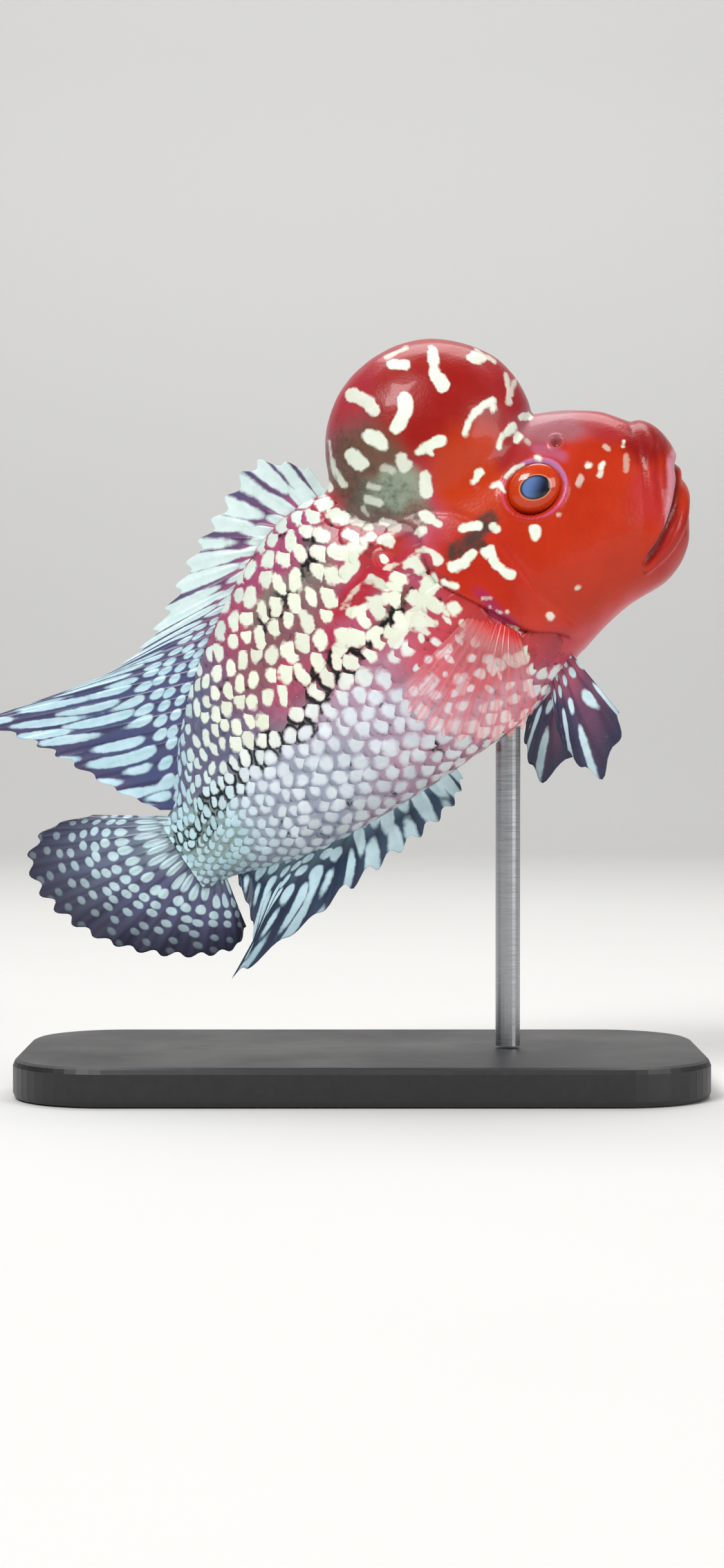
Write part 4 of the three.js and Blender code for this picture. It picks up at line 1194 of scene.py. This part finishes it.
skinLook = {
    "mottle": 0.16, "roughness": 0.34, "relief": 0.35, "reliefDepth": 0.00012,
    "raggedScale": 420.0, "blotchScale": 900.0, "wrinkleScale": 240.0,
    "smudge": (62, 56, 50), "wrinkleShade": (120, 14, 18), "lipEdgeHighlight": (212, 150, 164), "mouthGapShade": (96, 10, 14),
    "ring": (208, 72, 112), "coolRing": (182, 122, 172), "socket": (186, 48, 18),
    "subsurface": {
        "Subsurface Weight": 0.05, "Subsurface Radius": (0.0012, 0.0004, 0.0003), "Subsurface Scale": 1.0,
    },
}


def makeSkinMaterial(look=skinLook):
    made, tree = newMaterial("wet_skin")
    place = objectPlace(tree)
    marks, lips, rings = vectorFields(tree, "marks", "lips", "rings")
    flesh = useGroup(tree, fleshGroup, {
        "Colour": colourField(tree, "ground"), "Mottle": look["mottle"], "Wetness": look["roughness"],
    })
    ragged = (noise(place, look["raggedScale"]) - 0.5) * 2.0
    blotch = (noise(place, look["blotchScale"], 4.0, 0.7) - 0.5) * 1.6
    darkness = ramp(marks[2] + blotch, 0.12, 1.0, 0.0, 0.92)
    colour = mixColour(darkness, flesh["Colour"], look["smudge"])
    waves = {"Vector": place, "Scale": look["wrinkleScale"], "Distortion": 3.5, "Detail": 2.0}
    waves["Detail Scale"] = 1.4
    # Painted shade darkens the creases of the upper lip's wrinkles, which the relief also sinks.
    crease = lips[0] * (worked("TexWave", waves, "Fac", wave_type="BANDS", bands_direction="X") * 0.4)
    colour = mixColour(crease, colour, look["wrinkleShade"])
    # The upper lip's pale edge, with a painted wet highlight along it.
    colour = mixColour(ramp(lips[1] + ragged * 0.6, 0.2, 0.9) * 0.8, colour, look["lipEdgeHighlight"])
    # Painted shade in the groove between the lips.
    colour = mixColour(lips[2], colour, look["mouthGapShade"])
    ringColour = mixColour(ramp(rings[2], 0.3, 0.95), look["ring"], look["coolRing"])
    colour = mixColour(rings[1], colour, look["socket"])
    colour = mixColour(ramp(rings[0] + ragged * 0.6, 0.25, 0.9) * 0.85, colour, ringColour)
    mask = ramp(marks[0] + ragged * 0.8, 0.2, -0.18) * marks[1]
    out = useGroup(tree, pearlGroup, {"Ground": colour, "Mask": mask, "Coolness": 0.1})
    inputs = {**wetInputs(out["Colour"], flesh["Roughness"], coatRoughness=0.08), **look["subsurface"]}
    height = flesh["Height"] + mask * 1.6 - crease * 3.0
    return dress(made, inputs, height, look["relief"], look["reliefDepth"])


scaleLook = {
    "mottle": 0.3, "roughness": 0.32, "relief": 0.4,
    "raggedScale": 800.0, "brokenScale": 420.0, "lobeScale": 460.0,
    "betweenPearls": (96, 64, 92), "band": (16, 26, 26), "growthRings": 9.0,
}


def makeScaleMaterial(look=scaleLook):
    made, tree = newMaterial("pearled_scale")
    place = objectPlace(tree)
    where, info, marks = vectorFields(tree, "scalePlace", "scaleInfo", "marks")
    ragged = noise(place, look["raggedScale"], 2.0) - 0.5
    broken = (noise(place, look["brokenScale"]) - 0.5) * 2.6
    lobed = noise(place, look["lobeScale"], 2.0) - 0.5
    flesh = useGroup(tree, fleshGroup, {
        "Colour": colourField(tree, "ground"), "Mottle": look["mottle"], "Wetness": look["roughness"],
    })
    radius = maths("SQRT", where[0] * where[0] + where[1] * where[1]) + ragged * 1.3
    named = ramp(marks[0] + lobed * 1.8, 0.2, -0.16) * marks[1]
    mask = maths("MAXIMUM", ramp(radius, info[0] + 1.0, 1.0 - info[0]), named)
    beyond = ramp(radius, 0.92, 1.25) * (1.0 - named)
    outline = beyond * ramp(radius, 2.1, 1.45, 0.25, 1.0)
    colour = mixColour(beyond * 0.18, flesh["Colour"], look["betweenPearls"])
    colour = mixColour(ramp(marks[2] + broken, 0.25, 0.6) * outline, colour, look["band"])
    out = useGroup(tree, pearlGroup, {
        "Ground": colour, "Mask": mask, "Coolness": info[1], "Lilac": where[2], "Brightness": info[2],
    })
    height = maths("SINE", radius * look["growthRings"]) * 0.12 + mask * 1.2
    return dress(made, wetInputs(out["Colour"], flesh["Roughness"]), height, look["relief"])


# Spacing of the drops in millimetres, their size, and how their rows change over the fin. Coolness
# is given for the fin's front and rear.
finLooks = {
    "dorsal": {
        "web": (72, 80, 118), "root": (164, 80, 116), "rearRoot": (84, 86, 124), "rim": (86, 80, 116),
        "spacing": 1.75, "size": 0.41, "stretch": 3.4, "comb": 2.4, "fade": 0.0, "streak": 0.0,
        "cool": (0.6, 1.0),
    },
    "anal": {
        "web": (38, 56, 80), "root": (92, 116, 134), "rearRoot": (92, 116, 134), "rim": (58, 72, 94),
        "spacing": 1.6, "size": 0.39, "stretch": 2.2, "comb": 2.0, "fade": 0.25, "streak": 0.0,
        "cool": (0.85, 0.95),
    },
    "caudal": {
        "web": (88, 90, 124), "root": (132, 148, 160), "rearRoot": (112, 118, 142), "rim": (58, 60, 80),
        "spacing": 1.15, "size": 0.385, "stretch": 0.3, "comb": 0.0, "fade": 0.85, "streak": 0.74,
        "cool": (0.85, 0.85),
    },
    "pelvic": {
        "web": (66, 62, 90), "root": (160, 84, 104), "rearRoot": (160, 84, 104), "rim": (54, 56, 78),
        "spacing": 2.4, "size": 0.28, "stretch": 1.2, "comb": 0.0, "fade": 0.3, "streak": 0.0,
        "cool": (0.85, 0.85),
    },
}
finRay = (46, 40, 62)

# Fin pattern: pale drops in the webs between the rays, in rows from the root to the edge.
finGroup, given = newGroup("finDrops", {
    "Web": white, "Root": white, "Rim": white, "Spacing": 2.0, "Size": 0.4, "Stretch": 1.0, "Comb": 0.0,
    "Fade": 0.0, "Streak": 0.0,
}, ("Colour", "Mask"))
where, extra = vectorFields(finGroup, "finPlace", "finExtra")
ragged = noise(objectPlace(finGroup), 900.0, 2.0) - 0.5
front = ramp(extra[1], 0.5, 0.36)
combed = front * given["Comb"]
pitch = given["Spacing"] * (maths("POWER", where[1], 2.5) * given["Stretch"] + 1.0 + combed)
# Near the root the rows are spread out, so that the drops there run into streaks.
inward = maths("SMOOTH_MIN", where[1], 0.46, 0.24) / where[1]
along = where[2] * (1.0 - inward * given["Streak"]) / pitch
spot = worked("CombineXYZ", {0: where[0], 1: along, 2: 0.0})
cells = worked(
    "TexVoronoi", {"Vector": spot, "Scale": 1.0, "Randomness": 0.42}, "Distance",
    voronoi_dimensions="2D", feature="F1",
)
outer = ramp(where[1], 0.5, 1.0)
faded = outer * given["Fade"]
size = given["Size"] * (1.0 - faded * 0.55) + combed * 0.036
mask = ramp(cells + ragged * 0.16 - size, 0.06, -0.08) * (1.0 - faded)
inner = maths("MULTIPLY_ADD", front, 0.3, ramp(where[1], 0.45, 0.08), clamp=True)
web = mixColour(outer, mixColour(inner, given["Web"], given["Root"]), given["Rim"])
fill(finGroup.nodes.new("NodeGroupOutput"), {
    "Colour": mixColour(extra[0] * 0.55, web, finRay), "Mask": mask,
})


def makeFinMaterial(name, look):
    made, tree = newMaterial(name + "_fin")
    back = ramp(vectorFields(tree, "finExtra")[0][1], 0.3, 0.65)
    labels = ("Spacing", "Size", "Stretch", "Comb", "Fade", "Streak")
    drops = useGroup(tree, finGroup, {
        "Web": paint(*look["web"]), "Root": mixColour(back, look["root"], look["rearRoot"]),
        "Rim": paint(*look["rim"]), **{label: look[label.lower()] for label in labels},
    })
    flesh = useGroup(tree, fleshGroup, {"Colour": drops["Colour"], "Mottle": 0.2, "Wetness": 0.34})
    frontCool, rearCool = look["cool"]
    out = useGroup(tree, pearlGroup, {
        "Ground": flesh["Colour"], "Mask": drops["Mask"], "Brightness": 1.04,
        "Coolness": back * (rearCool - frontCool) + frontCool,
    })
    inputs = wetInputs(out["Colour"], flesh["Roughness"], coatRoughness=0.15)
    return dress(made, inputs, flesh["Height"] + drops["Mask"], 0.3, 0.00012)


clearFinLook = {
    "web": (240, 178, 180), "ray": (222, 96, 104), "root": (205, 36, 30), "webAlpha": 0.1, "rayAlpha": 0.3,
}


def makeClearFinMaterial(look=clearFinLook):
    made, tree = newMaterial("clear_fin")
    where, extra = vectorFields(tree, "finPlace", "finExtra")
    colour = mixColour(extra[0], look["web"], look["ray"])
    colour = mixColour(ramp(where[1], 0.3, 0.05), colour, look["root"])
    flesh = useGroup(tree, fleshGroup, {"Colour": colour, "Mottle": 0.15, "Wetness": 0.25})
    atRoot = ramp(where[1], 0.3, 0.08, 0.0, 0.8)
    alpha = maths("ADD", extra[0] * look["rayAlpha"] + look["webAlpha"], atRoot, clamp=True)
    inputs = {**wetInputs(flesh["Colour"], flesh["Roughness"], coat=0.5), "Alpha": alpha}
    return dress(made, inputs, flesh["Height"], 0.3)


eyeLook = {
    "pupil": (1.95, 1.5), "pupilShift": (0.2, 0.2),
    "iris": ((166, 30, 8), (222, 76, 14)), "irisEdge": (120, 16, 12), "goldRim": (226, 178, 130),
    "pupilLit": (92, 122, 176), "pupilDark": (8, 12, 30), "pupilEdge": (10, 12, 26),
    "spokes": 9.0, "spokeScale": 2.2,
}


def makeEyeMaterial(look=eyeLook):
    made, tree = newMaterial("wet_eye")
    where = vectorFields(tree, "eyePlace")[0]
    across, up = ((where[k] - look["pupilShift"][k]) / look["pupil"][k] for k in range(2))
    radius = maths("SQRT", across * across + up * up)
    turn = maths("ARCTAN2", up, across) * look["spokes"]
    fibre = noise(worked("CombineXYZ", {0: turn, 1: radius, 2: 0.0}), look["spokeScale"], 4.0)
    iris = mixColour(fibre, *look["iris"])
    iris = mixColour(ramp(radius, 1.75, 2.15), iris, look["irisEdge"])
    # The pupil's lighter blue side is a painted reflection of light, fading across it to the pupil's dark
    # colour.
    pupil = mixColour(ramp(where[0] - where[1] * 0.8, -1.4, 1.6), look["pupilLit"], look["pupilDark"])
    pupil = mixColour(ramp(radius, 0.75, 1.0), pupil, look["pupilEdge"])
    rim = ramp(radius, 0.96, 1.04) * ramp(radius, 1.14, 1.06)
    colour = mixColour(ramp(radius, 0.97, 1.03), pupil, iris)
    colour = mixColour(rim * 0.4, colour, look["goldRim"])
    inputs = {
        "Base Color": colour, "Roughness": 0.3, "Specular IOR Level": 0.15, "Coat Weight": 0.7,
        "Coat Roughness": 0.02,
    }
    return dress(made, inputs, fibre * ramp(radius, 1.0, 1.2), 0.15)


standLook = {
    "base": ((26, 26, 28), (42, 42, 44)), "baseRoughness": (0.34, 0.5), "baseGrain": 900.0,
    "rod": ((150, 152, 156), (204, 205, 208)), "rodRoughness": (0.24, 0.4),
    "brushing": (300.0, 300.0, 6000.0),
}


def makeBaseMaterial(look=standLook):
    made, tree = newMaterial("satin_black")
    place = objectPlace(tree)
    grain = noise(place, look["baseGrain"], 4.0)
    rough = ramp(noise(place, 60.0), 0.2, 0.8, *look["baseRoughness"])
    return dress(made, {"Base Color": mixColour(grain, *look["base"]), "Roughness": rough}, grain, 0.12)


def makeRodMaterial(look=standLook):
    made, tree = newMaterial("brushed_steel")
    place = objectPlace(tree)
    lines = noise(worked("Mapping", {"Vector": place, "Scale": look["brushing"]}), 1.0)
    inputs = {
        "Base Color": mixColour(lines, *look["rod"]), "Metallic": 1.0,
        "Roughness": ramp(lines, 0.2, 0.8, *look["rodRoughness"]),
    }
    return dress(made, inputs, lines, 0.1, 0.00005)


def finish(piece, material, slot, *nodes):
    piece.data.materials.clear()
    piece.data.materials.append(material)
    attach(piece, "root")
    if nodes:
        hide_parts(*nodes)


finish(
    skin, makeSkinMaterial(), "face_skin",
    "head", "nuchal_hump", "upper_lip", "lower_jaw", "gill_cover_right", "gill_cover_left",
    "torso", "tail_peduncle",
)
scaleMaterial = makeScaleMaterial()
finish(scalesRight, scaleMaterial, "scaled_skin")
finish(scalesLeft, scaleMaterial, "scaled_skin")
finMaterials = {name: makeFinMaterial(name, look) for name, look in finLooks.items()}
clearFin = makeClearFinMaterial()
for name in ("dorsal", "anal", "caudal"):
    finish(finPieces[name + "_fin"], finMaterials[name], "fin", name + "_fin")
eyeMaterial = makeEyeMaterial()
for side in ("right", "left"):
    finish(finPieces[f"pelvic_fin_{side}"], finMaterials["pelvic"], "fin", f"pelvic_fin_{side}")
    finish(finPieces[f"pectoral_fin_{side}"], clearFin, "clear_fin", f"pectoral_fin_{side}")
    finish(eyePieces[side], eyeMaterial, "eye", f"eye_{side}")
for node, material in (("stand_base", makeBaseMaterial()), ("stand_rod", makeRodMaterial())):
    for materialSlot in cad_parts[node].material_slots:
        materialSlot.material = material
print("stage: materials made")


# Studio

studio = {
    "floor": (216, 215, 212), "paper": (244, 243, 240), "wall": 0.62, "bend": 0.25, "reach": 1.6,
    "distance": 0.4, "aim": (0.0, 0.0, 0.0392), "frameHeight": 0.203, "elevation": 1.5, "sensor": 36,
    "skyColour": (0.9, 0.93, 1.0, 1), "skyStrength": 0.16,
}
lights = {
    # place, aim, size, power
    "key": ((-0.3, -0.45, 0.6), (0, 0, 0.05), (0.3, 0.24), 4.4),
    "fill": ((0.5, -0.4, 0.25), (0, 0, 0.05), (0.3, 0.3), 1.7),
    "top": ((0.0, 0.25, 0.6), (0, 0, 0.06), (0.5, 0.3), 2.2),
    "backdrop_light": ((0.0, 0.2, 0.8), (0, 0.85, 0.15), (0.9, 0.3), 2.0),
}


def makeBackdrop(steps=24):
    # A sheet of paper that runs over the floor and bends up into a wall.
    reach, bend, wall = studio["reach"], studio["bend"], studio["wall"]
    turn = np.linspace(0, math.pi / 2, steps + 1)
    curve = [(wall + bend * math.sin(angle), bend * (1 - math.cos(angle))) for angle in turn]
    points = [(x, y, z) for y, z in [(-reach, 0.0), *curve, (wall + bend, reach)] for x in (-reach, reach)]
    faces = [(i, i + 1, i + 3, i + 2) for i in range(0, len(points) - 2, 2)]
    backdrop = meshObject("backdrop", points, faces)
    made, tree = newMaterial("matte_paper")
    place = objectPlace(tree)
    tone = mixColour(ramp(split3(place)[2], 0.0, 0.3), studio["floor"], studio["paper"])
    tone = mixColour(noise(place, 8.0, 2.0) * 0.2, tone, studio["paper"])
    fill(tree.nodes["Principled BSDF"], {"Base Color": tone, "Roughness": 0.85})
    backdrop.data.materials.append(made)


def softLight(name, place, aim, size, power):
    data = bpy.data.lights.new(name, "AREA")
    data.shape = "RECTANGLE"
    data.size, data.size_y = size
    data.energy = power
    made = bpy.data.objects.new(name, data)
    bpy.context.scene.collection.objects.link(made)
    made.location = place
    direction = np.array(aim) - np.array(place)
    made.rotation_mode = "QUATERNION"
    made.rotation_quaternion = Vector(direction).to_track_quat("-Z", "Y")


makeBackdrop()
for name, light in lights.items():
    softLight(name, *light)

world = bpy.data.worlds.new("studio")
world.use_nodes = True
fill(world.node_tree.nodes["Background"], {"Color": studio["skyColour"], "Strength": studio["skyStrength"]})
bpy.context.scene.world = world
bpy.context.scene.view_settings.view_transform = "Standard"

cameraData = bpy.data.cameras.new("camera")
cameraData.sensor_width = studio["sensor"]
cameraData.lens = studio["sensor"] * studio["distance"] / studio["frameHeight"]
camera = bpy.data.objects.new("camera", cameraData)
bpy.context.scene.collection.objects.link(camera)
tilt = math.radians(studio["elevation"])
back = studio["distance"] * np.array([0, -math.cos(tilt), math.sin(tilt)])
camera.location = np.array(studio["aim"]) + back
camera.rotation_euler = (math.pi / 2 - tilt, 0, 0)
bpy.context.scene.camera = camera
print("stage: studio made")
